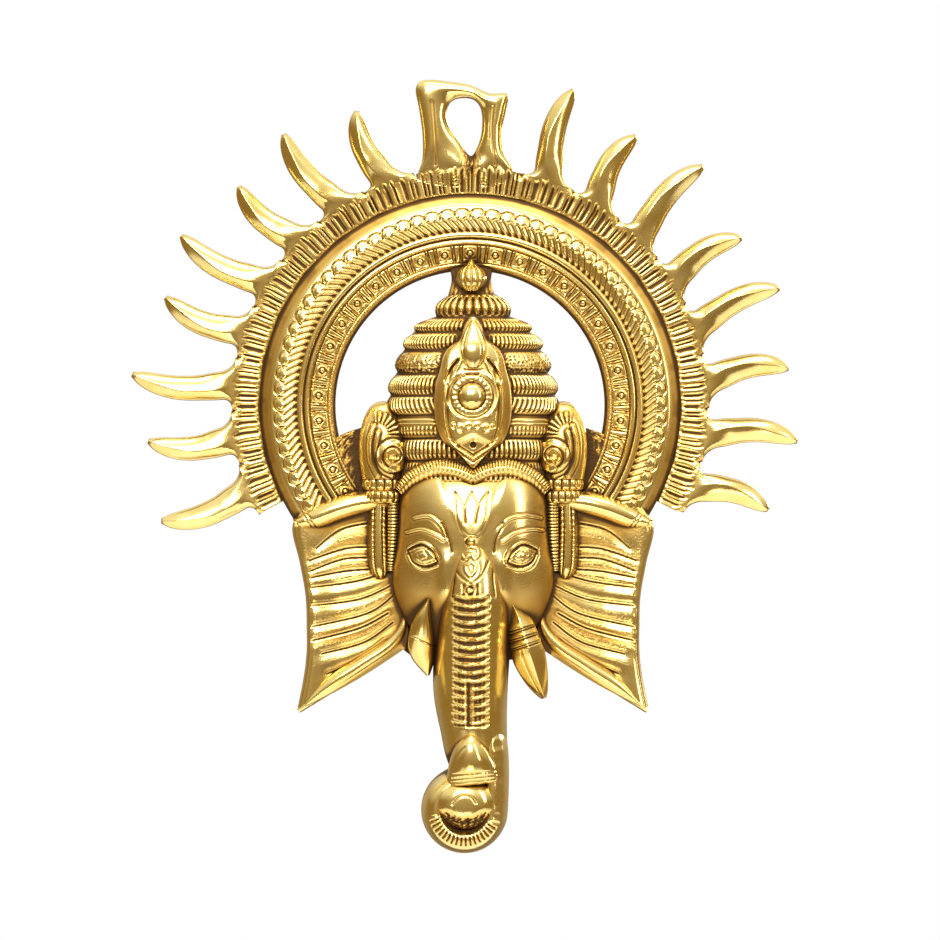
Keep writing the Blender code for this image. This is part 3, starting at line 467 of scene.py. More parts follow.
# The eye's edge and the loop's own edge beside it, from the foot up the left side, over the bar and down
EYE_EDGE = (
    (0.0, 90.2), (-1.6, 91.8), (-4.0, 95.4), (-6.5, 99.0), (-8.1, 102.6), (-8.5, 105.8), (-7.6, 108.8),
    (-5.6, 110.6), (-2.2, 111.2), (1.2, 110.6), (3.4, 108.4), (4.3, 105.2), (4.4, 101.4), (4.0, 97.6),
    (3.0, 94.2), (1.8, 91.6), (0.9, 90.4), (0.0, 90.2),
)
LOOP_EDGE = (
    (0.0, 79.0), (-9.0, 79.0), (-18.6, 81.6), (-17.2, 89.0), (-17.2, 98.0), (-18.4, 107.0), (-19.6, 114.6),
    (-16.4, 117.6), (-7.0, 117.0), (0.6, 115.6), (7.0, 112.8), (13.6, 112.6), (13.2, 107.4), (11.8, 100.4),
    (12.2, 92.0), (15.4, 84.6), (9.0, 79.0), (0.0, 79.0),
)
# A shallow crease down each horn
HORN_CREASES = (((-13.8, 109.4), (-12.9, 98.0), (-12.4, 87.0)), ((8.2, 107.6), (7.6, 98.0), (9.0, 87.0)))


def away_from(x, z, points, steps=32):
    """Distance of every plan place from the smooth line through the points."""
    path_x, path_z = smooth_path(points, np.linspace(0, 1, steps + 1))
    best = np.full(x.shape, np.inf)
    for ax, az, bx, bz in zip(path_x[:-1], path_z[:-1], path_x[1:], path_z[1:]):
        run_x, run_z = bx - ax, bz - az
        share = np.clip(((x - ax) * run_x + (z - az) * run_z) / (run_x**2 + run_z**2), 0, 1)
        best = np.minimum(best, np.hypot(x - ax - share * run_x, z - az - share * run_z))
    return best


def hanging_loop():
    """The loop runs once round the eye, and each of its rows runs out from the eye's edge to its own edge,
    rounded over between the two. At the foot the outer edge stays low and goes under the grooved band."""
    u, v = grid(220, 36)
    share = 0.5 - 0.5 * np.cos(np.pi * v)
    inner_x, inner_z = smooth_path(EYE_EDGE, u[0])
    outer_x, outer_z = smooth_path(LOOP_EDGE, u[0])
    x = inner_x + (outer_x - inner_x) * share
    z = inner_z + (outer_z - inner_z) * share
    across = 2 * share - 1
    foot = np.maximum(1 - ease(0.11, 0.20, u), ease(0.85, 0.93, u))
    section = (1 - foot) * round_over(across, 0.5) + foot * round_over(np.minimum(across, 0), 0.5)
    high = LOOP_HEIGHT - 2.2 * foot * ease(-0.6, 1.0, across) - 1.6 * foot * line(x - 0.2, 2.2)
    marks = grooves(np.hypot(x, z), np.degrees(np.arctan2(x, z)), 0.9)
    rough = foot * line(x - 0.2, 3.0)
    height = high * section - GROOVE_DEPTH * marks
    height += 0.3 * rough * pebbles(x, z, (5.1, 3.7, 4.6, 4.1), (2, 1))
    for crease in HORN_CREASES:
        height -= 0.45 * line(away_from(x, z, crease), 0.55)
    # Painted shade: a little amber all over the loop, more towards both edges
    painted_shade = 0.12 + 0.1 * np.abs(across)
    cast("hanging_loop", x, z, height, at=HALO_AT, dark=0.25 * marks + 0.8 * rough, painted_shade=painted_shade)
    u, v = grid(150, 40)
    degrees = (2 * u - 1) * (RAY_FIRST_DEG - RAY_PITCH_DEG / 2)
    full = (FLANGE_OUTER_R - FLANGE_INNER_R) / math.cos(math.radians(RAY_PITCH_DEG / 2))
    radius = FLANGE_INNER_R + full * v
    cut = grooves(radius, degrees, 0.7 + 0 * radius)
    height = FLANGE_HEIGHT - GROOVE_DEPTH * cut - 0.7 * (1 - ease(75.8, 77.0, radius))
    height -= 1.9 * ease(83.0, 85.7, radius) * ease(0.80, 0.95, np.abs(2 * u - 1))
    # Painted shade: a little amber all over the foot
    cast("loop_foot", *polar(radius, degrees), height, at=HALO_AT, dark=0.25 * cut, painted_shade=0.15)


hanging_loop()

# Backing plate. The plain cast ground between the crown, the ears and the ring. It is stippled all over
# and keeps its dark patina, because nothing rubs it. Figure sizes are millimetres from the halo's centre.

PLATE_HEIGHT = 4.2
PLATE_INNER_HALF = 18.0
# From the top down: z and half width
PLATE_OUTLINE = (
    (-1.5, 18.2), (-3.0, 22.0), (-8.0, 40.0), (-13.0, 50.5), (-24.0, 52.0), (-34.0, 54.0), (-44.0, 52.0),
    (-60.0, 38.0), (-74.0, 30.0), (-86.0, 27.0), (-91.0, 22.0),
)


def backing_plate():
    """Two flat side strips, one on each side of the hollow head, with a pebbled front and level rows."""
    u, v = grid(44, 90)
    z, half = smooth_path(PLATE_OUTLINE, v)
    for side, name in SIDES:
        x = side * (PLATE_INNER_HALF + (half - PLATE_INNER_HALF) * u)
        height = PLATE_HEIGHT + 0.28 * pebbles(x, z, (2.9, 1.9, 3.3, 2.3), (1.7, 1.3))
        cast(f"backing_plate_{name}", x, z, height, dark=0.95)


backing_plate()

# Ears. Thin cast brass, spread wide: folds fan out from the root to a turned-up rim, a polished roll runs
# along the top and a broad hem along the bottom, down to the pointed lobe.

# Root and rim of an ear, top to bottom: root x, z, then rim x, z
EAR_STATIONS = (
    (27.0, -35.2, 62.0, -37.0), (27.0, -42.0, 65.4, -44.6), (27.4, -52.0, 62.8, -56.5),
    (27.6, -61.0, 60.6, -69.0), (26.4, -69.0, 60.2, -80.0), (24.6, -76.0, 60.2, -89.0),
    (23.4, -82.0, 61.2, -98.0), (24.6, -88.0, 63.6, -110.4),
)
EAR_BED = 5.0
EAR_RIM = 8.0
# The grooves between the folds, each from the root over its middle to the rim
FOLD_LINES = (
    ((36.0, -42.4), (47.8, -45.0), (56.6, -51.8)), ((37.0, -51.4), (46.4, -52.0), (59.0, -56.2)),
    ((37.0, -55.2), (47.1, -55.8), (58.6, -60.0)), ((36.6, -59.4), (46.0, -60.1), (58.4, -62.4)),
    ((30.0, -60.1), (42.5, -63.8), (58.2, -66.0)), ((29.0, -65.0), (41.3, -70.3), (58.2, -72.6)),
    ((27.5, -67.7), (38.0, -75.3), (58.2, -80.2)), ((30.8, -75.3), (41.3, -80.8), (58.2, -85.2)),
    ((29.0, -78.6), (39.3, -85.8), (54.6, -90.0)), ((31.5, -85.8), (40.6, -92.4), (52.5, -97.1)),
)
# How much of the stippled ground each fold keeps, from the top fold down
FOLD_DARK = (0.30, 0.65, 0.65, 0.5, 0.1, 0.05, 0.3, 0.85, 0.2, 0.0)


def ear(side, name):
    """Each point goes from root to rim by u and down the ear by v. The folds swell between the grooves,
    by the distance to the nearest one, and fade out towards the rim."""
    u, v = grid(76, 214)
    root_x, root_z, rim_x, rim_z = smooth_path(EAR_STATIONS, v[:, 0])
    lower = np.maximum(0, v - 0.75) / 0.25
    x = root_x[:, None] + (rim_x - root_x)[:, None] * u
    z = root_z[:, None] + (rim_z - root_z)[:, None] * (u + 0.06 * lower * np.sin(np.pi * u))
    gaps = np.stack([away_from(x, z, points, 12) for points in FOLD_LINES])
    gap = gaps.min(axis=0)
    nearest = np.take(np.array(FOLD_DARK), gaps.argmin(axis=0))
    fan = span(u, (0.0, 0.25), (0.91, 0.965))
    height = EAR_BED + 1.1 * (1 - np.exp(-gap / 1.6)) * (0.35 + 0.65 * fan) + 3.0 * (1 - u) ** 2
    height += 0.2 * line(gap - 0.6, 0.25) - 0.16 * line(gap, 0.24)
    height += (EAR_RIM - EAR_BED - 1.2) * ease(0.60, 0.96, u) - 3.4 * ease(0.965, 1.0, u) ** 2
    dark = nearest * fan * (1 - 0.8 * line(gap - 0.55, 0.4)) + 0.1 * line(gap, 0.3)
    # Painted shade: amber on the upper part of the ear and towards the root of its lower part
    painted_shade = 0.18 * (1 - ease(-60, -44, z)) * (1 - u) + 0.25 * ease(-52, -40, z)
    cast(f"ear_{name}", side * x, z, height, dark=np.clip(dark, 0, 1), painted_shade=painted_shade)
    roll = (
        (28.0, -35.6, 3.4, 9.8), (38.0, -35.0, 4.2, 11.0), (48.0, -37.2, 4.4, 11.0), (57.0, -40.6, 4.2, 10.0),
        (64.6, -43.0, 2.0, 8.0),
    )
    x, z, high, across, v = ribbon(mirrored(roll, side), 40, 110)
    rise = high * round_over(across, 0.45)
    for mark in (0.80, 0.835, 0.95):
        rise -= 0.5 * line(v - mark - 0.03 * across * side, 0.007)
    # Painted shade: amber along one edge of the roll
    cast(f"ear_roll_{name}", x, z, rise, painted_shade=0.35 * ease(0.1, 0.8, -across * side))
    hem = (
        (25.4, -70.0, 1.2, 7.6), (25.0, -79.0, 2.0, 9.4), (29.6, -86.4, 2.9, 9.6), (40.6, -94.0, 3.1, 9.4),
        (52.0, -101.4, 3.0, 9.0), (63.0, -110.6, 0.9, 7.4),
    )
    x, z, high, across, v = ribbon(mirrored(hem, side), 30, 110)
    # Painted shade: amber along one edge of the hem
    cast(f"ear_hem_{name}", x, z, high * round_over(across, 0.5), painted_shade=0.4 * ease(0.0, 0.6, -across * side))


for side, side_name in SIDES:
    ear(side, side_name)

# Crown. A hollow cast cap of nine stacked rolls. Most are fluted, one is rough like bark, one is twisted
# like a rope, and one has plain lines over a row of small squares.

CROWN_DEPTH = 22.0
CROWN_WALL = 3.2
CROWN_FOOT = -28.0
# Tiers from the top down: z of the top, half width, share of the crown's depth, flutes round the front
# and their lean. In place of flutes, 0 is the rough tier and -1 the one with lines over squares
TIERS = (
    (40.6, 13.8, 0.54, 14, 0.0), (31.6, 21.4, 0.70, 38, 0.0), (26.2, 25.4, 0.82, 46, 0.5),
    (19.8, 28.2, 0.90, 0, 0.0), (11.4, 30.8, 0.96, 52, 0.0), (3.4, 31.6, 1.00, 42, 1.3),
    (-3.4, 30.2, 1.00, -1, 0.0), (-11.8, 28.6, 1.03, 46, 0.0), (-20.0, 27.6, 1.05, 46, 0.0),
)
CROWN_TOP_HALF = 6.5
TIER_FOOT = 0.965
TIER_GROOVE = 0.95
CROWN_FOOT_SHARE = 0.16


def crown():
    """Half ellipses stacked from the top down. Each tier springs from just inside the one above, bulges
    out to its widest at two thirds down and turns in a little at its foot. Flutes are cut round it."""
    u, v = grid(310, 168)
    turn = np.pi * (1 - u)
    top = TIERS[0][0] + 1.6
    level = top + (CROWN_FOOT - top) * v
    half, deep, carve, dark, low = (0 * u for i in range(5))
    for i, (start, wide, share, flutes, lean) in enumerate(TIERS):
        stop = TIERS[i + 1][0] if i + 1 < len(TIERS) else CROWN_FOOT
        above_half = TIERS[i - 1][1] * TIER_FOOT if i else CROWN_TOP_HALF
        above_share = TIERS[i - 1][2] * TIER_GROOVE if i else 0.62 * share
        here = (level <= start) & (level > stop) if i else level > stop
        down = np.clip((start - level) / (start - stop), 0, 1)
        bulge = np.sin(0.5 * np.pi * np.clip(down / 0.66, 0, 1)) ** 0.8
        tuck = 1 - (1 - np.array((TIER_FOOT, TIER_GROOVE))[:, None, None]) * ease(0.72, 1.0, down)
        half = np.where(here, (min(above_half, wide * 0.97) * (1 - bulge) + wide * bulge) * tuck[0], half)
        deep = np.where(here, (min(above_share, share * 0.95) * (1 - bulge) + share * bulge) * tuck[1], deep)
        lean_side = lean * (down - 0.5) * np.sign(0.5 - u) * 1.2
        crease = 0.5 * line(down - 0.06, 0.05) * (i > 0)
        if flutes > 0:
            cut = wave(flutes * turn / np.pi + lean_side) ** 1.6
            cut = cut * span(down, (0.10, 0.26), (0.84, 0.95)) * (1.4 if i == 0 else 1.0)
            shade = 0.25 * cut
        elif flutes == 0:
            bark = np.sin(48 * turn + 3 * np.sin(9 * down)) * np.sin(22 * down + 2 * np.sin(31 * turn))
            zigzag = line(down - 0.80 - 0.06 * (1 - 2 * np.abs((26 * turn / np.pi) % 1 - 0.5)), 0.04)
            cut = 0.35 * bark * ease(0.1, 0.3, down) + 0.6 * zigzag
            shade = 0.25 + 0.25 * bark
        else:
            cut = 0.6 * line(down - 0.16, 0.04) + 0.45 * (line(down - 0.34, 0.03) + line(down - 0.5, 0.03))
            cell = np.sin(50 * turn) ** 2 * ribs((down - 0.52) / 0.4)
            cut = cut + 0.6 * (1 - cell) * span(down, (0.52, 0.56), (0.88, 0.92))
            shade = 0.2 * ease(0.5, 0.6, down)
        carve = np.where(here, cut + crease, carve)
        dark = np.where(here, shade, dark)
        low = np.where(here, line(down, 0.10) + line(down - 1, 0.08), low)
    foot = CROWN_FOOT_SHARE * CROWN_DEPTH
    round_front = np.sin(turn).clip(0, 1) ** 0.8
    core = foot + (CROWN_DEPTH * deep - foot) * round_front
    x = half * np.cos(turn) * (1 - 0.014 * carve)
    height = np.maximum(core - 0.9 * carve * (0.35 + 0.65 * round_front), 0.9)
    # Darker in the creases between tiers and towards the sides that turn back to the wall; the next line lays
    # amber painted shade on those sides too
    dark = dark + 0.35 * low + 0.35 * (1 - round_front) ** 2
    painted_shade = 0.12 + 0.3 * (1 - round_front)
    cast("crown", x, level, height, wall=CROWN_WALL, core=core - 0.8, dark=np.clip(dark, 0, 1), painted_shade=painted_shade)


crown()

# Finial. A small bud on a short neck, where the crown meets the ring. It is cast in one with both, and
# its six petals were cut into the wax.

NECK = ((-0.6, 51.2, 8.4, 3.4), (-0.6, 48.6, 7.6, 5.4), (-0.6, 44.6, 7.2, 7.2), (-0.6, 39.0, 8.6, 8.4))
BUD = (
    (-0.6, 52.8, 0.4, 9.0), (-0.6, 50.8, 2.0, 11.6), (-0.6, 48.6, 4.6, 14.2), (-0.6, 45.8, 5.6, 15.4),
    (-0.6, 43.2, 4.8, 14.8), (-0.6, 41.2, 2.8, 12.2),
)
PETALS = 6


def finial():
    """Round strips on end: a low pinched neck ties the crown to the ring, and in front of it the bud is a
    ball with cut petals that closes to a point."""
    x, z, high, across, v = ribbon(NECK, 40, 30)
    cast("finial_neck", x, z, high * round_over(across, 0.6) - 0.3 * (1 - ribs(across * 5)), dark=0.9)
    x, z, high, across, v = ribbon(BUD, 72, 60)
    petal = wave(way_round(across) * PETALS) ** 3
    height = high * round_over(across, 0.4) - 0.7 * petal * span(v, (0.1, 0.3), (0.8, 0.9))
    cast("finial_bud", x, z, height - 0.6 * line(v - 0.90, 0.03), dark=0.3 * petal)


finial()

# Crest plaque. A pear-shaped plate cast on the front of the crown: a bevel outside, painted amber as
# shade, a bright border inside it, a drop-shaped jewel over a rosette, small scrolls and a roof-shaped foot.

PLAQUE = (
    (0, 31.6, 1.2, 18.9), (0, 29.0, 3.0, 20.4), (0, 25.6, 4.4, 21.8), (0, 22.8, 6.0, 22.7),
    (0, 20.0, 9.2, 23.4), (0, 17.0, 10.8, 24.0), (0, 13.2, 11.7, 24.5), (0, 7.6, 13.2, 25.0),
    (0, 1.8, 13.9, 25.3), (0, -3.8, 13.7, 25.4), (0, -8.6, 12.8, 25.5), (0, -12.8, 10.9, 25.5),
    (0, -16.2, 7.4, 25.3), (0, -19.6, 3.8, 25.0), (0, -22.8, 0.8, 24.6),
)
PLAQUE_WALL = 5.0
ROSETTE_AT = (-0.4, 3.1)
ROSETTE_PETALS = 22
BOSS_R = 4.5
JEWEL = (
    (0, 30.6, 0.5, 21.6), (0, 28.0, 1.9, 23.0), (0, 24.4, 3.4, 25.4), (0, 20.6, 4.4, 27.2),
    (0, 16.6, 3.9, 27.4), (0, 13.4, 2.0, 26.6),
)


def both_sides(x, z, points, middle=0.0, steps=32):
    """Distance from a line drawn out from the middle, or from its mirror image, whichever is nearer."""
    return np.minimum(away_from(x - middle, z, points, steps), away_from(middle - x, z, points, steps))


def crest_plaque():
    """A strip with a bevel near its edges and everything else added by distance from lines and centres."""
    x, z, high, across, v = ribbon(PLAQUE, 98, 164)
    side = np.abs(across)
    height = high * (0.93 + 0.07 * (1 - across * across)) - 1.5 * ease(0.80, 1.0, side)
    low = ease(-14.0, -12.0, z)
    height += low * (0.9 * line(side - 0.76, 0.05) - 0.5 * line(side - 0.66, 0.04)) * (1 - ease(12, 16, z))
    boss_x, boss_z = ROSETTE_AT
    reach = np.hypot(x - boss_x, z - boss_z)
    angle = np.arctan2(z - boss_z, x - boss_x)
    rosette = 1 - ease(7.3, 7.6, reach)
    petals = ribs(angle / (2 * np.pi) * ROSETTE_PETALS) ** 0.6
    height += rosette * 0.7 - 0.3 * line(reach - 7.7, 0.2)
    height -= rosette * ease(5.1, 5.4, reach) * 0.4 * (1 - petals)
    height += 0.5 * line(reach - 9.3, 0.45) * ease(-0.5, 3.0, np.abs(x) - 4.0)
    height -= 0.55 * line(reach - 5.0, 0.22)
    height += 2.3 * dome(reach, BOSS_R) + 0.3 * (reach < BOSS_R)
    height -= 0.5 * dome(np.hypot(x - boss_x, z - boss_z + 3.4), 0.8)
    slit = both_sides(x, z, ((5.4, 16.2), (8.2, 12.6), (9.9, 8.6)))
    height -= 1.3 * line(slit, 0.45)
    leaf = both_sides(x, z, ((4.6, 15.4), (6.4, 11.4), (9.0, 7.8)))
    height += 0.5 * line(leaf, 0.5)
    for edge in ((-3.2, 12.4), (-2.4, 11.2)):
        height -= 0.4 * line(away_from(x, z, (edge, (-edge[0], edge[1]))), 0.2)
    outer_curl = np.abs(np.hypot(np.abs(x) - 4.8, z + 8.6) - 1.3)
    inner_curl = np.abs(np.hypot(np.abs(x) - 1.6, z + 7.8) - 1.0)
    height += 0.4 * line(np.minimum(outer_curl, inner_curl), 0.25) * ease(6.8, 7.6, reach)
    height -= 0.4 * line(np.hypot(np.abs(x) - 7.0, z + 7.4) - 0.9, 0.25) * ease(8.8, 9.4, reach)
    roof = both_sides(x, z, ((0.0, -11.4), (5.9, -14.0)))
    height += 0.8 * line(roof, 0.5)
    border = both_sides(x, z, ((-10.6, -12.6), (0.0, -19.4)), 0.0, 12)
    height += (1.1 * line(border, 0.55) - 0.5 * line(border - 1.2, 0.3)) * (1 - ease(0.74, 0.86, side))
    height -= 1.6 * dome(np.hypot(x, z + 14.4), 1.2)
    dark = 0.12 * (1 - ease(0.6, 0.75, side)) * span(z, (-19, -17), (11, 13)) * (1 - rosette)
    # Painted shade: amber on the bevel and across the top of the plaque
    painted_shade = 0.45 * ease(0.76, 0.86, side) + 0.35 * ease(21, 25, z)
    cast("crest_plaque", x, z, height, wall=PLAQUE_WALL, core=high - 1.5, dark=dark, painted_shade=painted_shade)
    x, z, high, across, v = ribbon(JEWEL, 40, 70)
    rise = high * round_over(across, 0.91) - 0.5 * line(np.abs(across) - 0.82, 0.07)
    cast("crest_jewel", x, z, rise, wall=PLAQUE_WALL, core=high - 2.0)


crest_plaque()

# Brim. Two fluted arcs along the foot of the crown, which meet in a dip over the forehead. They are cast
# in one with the crown.

BRIM_WALL = 4.0
BRIM_ARC = (
    (26.8, -31.2, 2.3, 14.5), (21.5, -26.0, 2.8, 19.4), (13.2, -22.6, 3.0, 22.9), (5.4, -23.4, 3.0, 24.6),
    (-0.6, -26.2, 2.8, 25.1),
)


def brim():
    """Each arc is a round strip: a band of small scrolls above, a bright line, and flutes below."""
    for side, name in SIDES:
        x, z, high, across, v = ribbon(mirrored(BRIM_ARC, side), 36, 176)
        upper = across * side
        flutes = wave(v * 32) * (1 - ease(-0.15, 0.0, upper))
        scrolls = wave(v * 19 + upper * 0.7) * ease(0.12, 0.25, upper)
        rise = high * round_over(across, 0.86) + 0.4 * line(upper - 0.06, 0.08)
        rise = rise - 0.6 * flutes - 0.28 * scrolls
        dark = 0.15 * (flutes + scrolls)
        # A little amber painted shade all over each arc
        cast(f"brim_{name}", x, z, rise, wall=BRIM_WALL, core=high - 1.5, dark=dark, painted_shade=0.12)


brim()

# Side crests. At each side of the crown stands a curled volute on two fluted capitals, and a lock of hair
# with rows of beads hangs under them. All cast in one.

VOLUTE = (
    (30.0, 0.5, 1.8, 9.0), (31.6, -3.0, 6.4, 12.0), (32.2, -10.0, 8.6, 14.4), (32.4, -18.0, 8.8, 15.0),
    (32.4, -26.8, 7.6, 14.0),
)
SPIRAL_AT = (28.6, -18.4)
SPIRAL_R = 5.9
# Two raised ridges outside the spiral
VOLUTE_RIDGES = (
    ((36.0, -7.6), (37.3, -13.0), (37.0, -20.0), (34.4, -25.6)),
    ((34.2, -10.0), (35.2, -16.0), (33.8, -22.6), (29.0, -25.6)),
)
COMB_AT = (34.6, -10.8)
CAPITAL_X = 32.0
# Each capital: z of its middle, half width, flutes
CAPITALS = ((-28.5, 7.9, 8), (-33.0, 7.3, 9))
LOCK = (
    (34.0, -33.0, 3.6, 10.5), (34.3, -46.0, 3.9, 11.2), (34.0, -57.0, 3.9, 11.0), (33.4, -61.0, 3.1, 10.0),
    (33.2, -62.6, 1.2, 8.6),
)
STRAND = ((28.6, -33.0, 2.3, 11.4), (28.8, -46.0, 2.2, 11.8), (29.6, -60.0, 1.6, 10.4))


def side_crest(side, name):
    """The volute is a round strip with its spiral and curved ridges added by distance, the capitals are
    strips of ribs, and the lock is a round rod between strings of beads."""
    x, z, high, across, v = ribbon(mirrored(VOLUTE, side), 78, 112)
    height = high * round_over(across, 0.6)
    plain = side * x
    angle = np.arctan2(z - SPIRAL_AT[1], plain - SPIRAL_AT[0])
    reach = np.hypot(plain - SPIRAL_AT[0], z - SPIRAL_AT[1])
    coil = SPIRAL_R * (1 - 0.085 * ((angle + 0.4 * np.pi) % (2 * np.pi)))
    disc = 1 - ease(SPIRAL_R, SPIRAL_R + 0.5, reach)
    height += disc * (2.0 + 0.9 * line(reach - coil + 0.7, 0.7) + 0.9 * line(reach - 0.55 * coil, 0.5))
    height -= disc * 0.9 * line(reach - 0.76 * coil, 0.35)
    height += 1.2 * dome(np.hypot(plain - SPIRAL_AT[0] - 0.2, z - SPIRAL_AT[1] + 1.2), 1.3)
    for points in VOLUTE_RIDGES:
        gap = away_from(plain, z, points)
        height += 0.8 * line(gap, 0.7) - 0.25 * line(gap - 1.3, 0.4)
    fan_x, fan_z = plain - COMB_AT[0], z - COMB_AT[1]
    spread = np.arctan2(fan_z, -fan_x) / math.radians(15)
    arc = np.hypot(fan_x, fan_z)
    comb = span(arc, (4.0, 4.5), (8.2, 9.2)) * span(spread, (-0.6, 0.4), (6.2, 7.0))
    height += comb * (0.7 - wave(spread) ** 1.5)
    # Painted shade: amber on the volute outside its spiral and comb
    cast(f"volute_{name}", x, z, height, dark=0.05, painted_shade=0.35 * (1 - disc) * (1 - 0.7 * comb))
    for level, (middle, half, flutes) in enumerate(CAPITALS):
        edge, belly = (half * 0.92, 12.4), (half, 13.6)
        capital = (
            (CAPITAL_X, middle + 2.3, *edge), (CAPITAL_X, middle + 1.2, *belly),
            (CAPITAL_X, middle - 1.2, *belly), (CAPITAL_X, middle - 2.3, *edge),
        )
        x, z, high, across, v = ribbon(mirrored(capital, side), 90, 30)
        cut = (1 - ribs((way_round(across) + 0.5) * flutes)) * span(v, (0.08, 0.3), (0.8, 0.95))
        cast(f"capital_{name}_{level}", x, z, high * round_over(across, 0.55) - cut, dark=0.45 * cut)
    x, z, high, across, v = ribbon(mirrored(LOCK, side), 44, 136)
    rise = high * round_over(across, 0.5)
    beads = ribs(v * 27)
    outer = line(np.abs(across) - 0.62, 0.16)
    rise += 0.9 * outer * (beads - 0.5) - 0.8 * line(np.abs(across) - 0.36, 0.07)
    cast(f"side_lock_{name}", x, z, rise, dark=0.4 * (1 - beads) * outer)
    x, z, high, across, v = ribbon(mirrored(STRAND, side), 24, 150)
    beads = ribs(v * 25)
    rise = high * (0.8 + 0.2 * dome(across) * (0.45 + 0.55 * beads))
    cast(f"bead_strand_{name}", x, z, rise, dark=0.45 * (1 - beads))


for side, side_name in SIDES:
    side_crest(side, side_name)

# Face. A hollow cast dome, broadest at the cheeks and polished by rubbing. The forehead mark, the brows,
# the lids and the creases were cut into the wax, so they keep dark lines.

FACE_DEPTH = 25.5
FACE_WALL = 3.2
# From the brow down: z, half width, share of the face's depth
FACE_STATIONS = (
    (-19.0, 22.0, 0.72), (-27.0, 25.4, 0.88), (-35.0, 26.8, 0.96), (-44.0, 27.2, 0.99), (-52.0, 28.0, 0.98),
    (-60.0, 29.4, 0.95), (-68.0, 28.6, 0.90), (-76.0, 25.6, 0.82), (-84.0, 20.6, 0.72), (-92.0, 15.0, 0.60),
)
FACE_MIDDLE = -0.2
# The forehead mark: three prongs over a cup, and a dot under it
MARK_DOT = (-0.9, -49.3)
MARK_LINES = (
    ((-6.6, -31.4), (-6.3, -36.6), (-5.9, -41.1), (-4.4, -45.1), (-2.4, -47.1), (-0.9, -47.5)),
    ((5.6, -31.6), (5.3, -36.6), (4.8, -41.6), (3.0, -45.6), (0.8, -47.3), (-0.9, -47.5)),
    ((-6.6, -31.4), (-4.4, -34.6), (-3.1, -38.5), (-2.8, -42.6)),
    ((-0.4, -31.4), (-2.4, -35.3), (-3.0, -38.6), (-2.8, -42.6)),
    ((-0.4, -31.4), (1.9, -35.6), (1.4, -39.0), (0.9, -42.6)),
    ((5.6, -31.6), (3.2, -34.4), (1.8, -38.0), (0.9, -42.6)),
)
# Upper and lower brow line of each side
BROW_LINES = (
    ((-21.4, -40.8), (-15.8, -40.2), (-11.4, -43.8), (-10.0, -47.6)),
    ((-24.0, -46.0), (-18.8, -44.9), (-13.8, -46.6), (-10.6, -48.4)),
    ((24.6, -40.8), (19.0, -39.9), (13.0, -41.2), (9.0, -45.2)),
    ((25.2, -45.2), (21.0, -44.9), (15.2, -46.2), (10.6, -49.2)),
)
# The eye on the right, out from the middle: upper lid, its fold, lower lid and its fold, from the outer
# corner to the inner
EYE_AT = (17.8, -54.4)
LID_LINES = (
    ((22.6, -52.9), (18.2, -51.2), (15.2, -53.4), (13.2, -56.4)),
    ((23.2, -51.4), (18.2, -49.5), (14.0, -52.2), (12.2, -55.6)),
    ((22.6, -52.9), (21.0, -56.0), (17.4, -57.6), (13.2, -56.4)),
    ((23.2, -54.4), (21.2, -57.8), (17.2, -59.4), (12.6, -58.0)),
)
CREASE = ((11.0, -42.4), (8.4, -48.5), (7.6, -53.0))
# The bright panel between the brows runs from its broad top down to a point
PANEL_TOP = -24.0
PANEL_POINT = -50.8
PANEL_HALF = 11.2


def inlaid(gap, rise=0.4, half=0.4):
    """A thin raised line between two dark cuts, by the distance from it."""
    return rise * line(gap, half) - 0.5 * rise * line(gap - 2.1 * half, 0.6 * half)


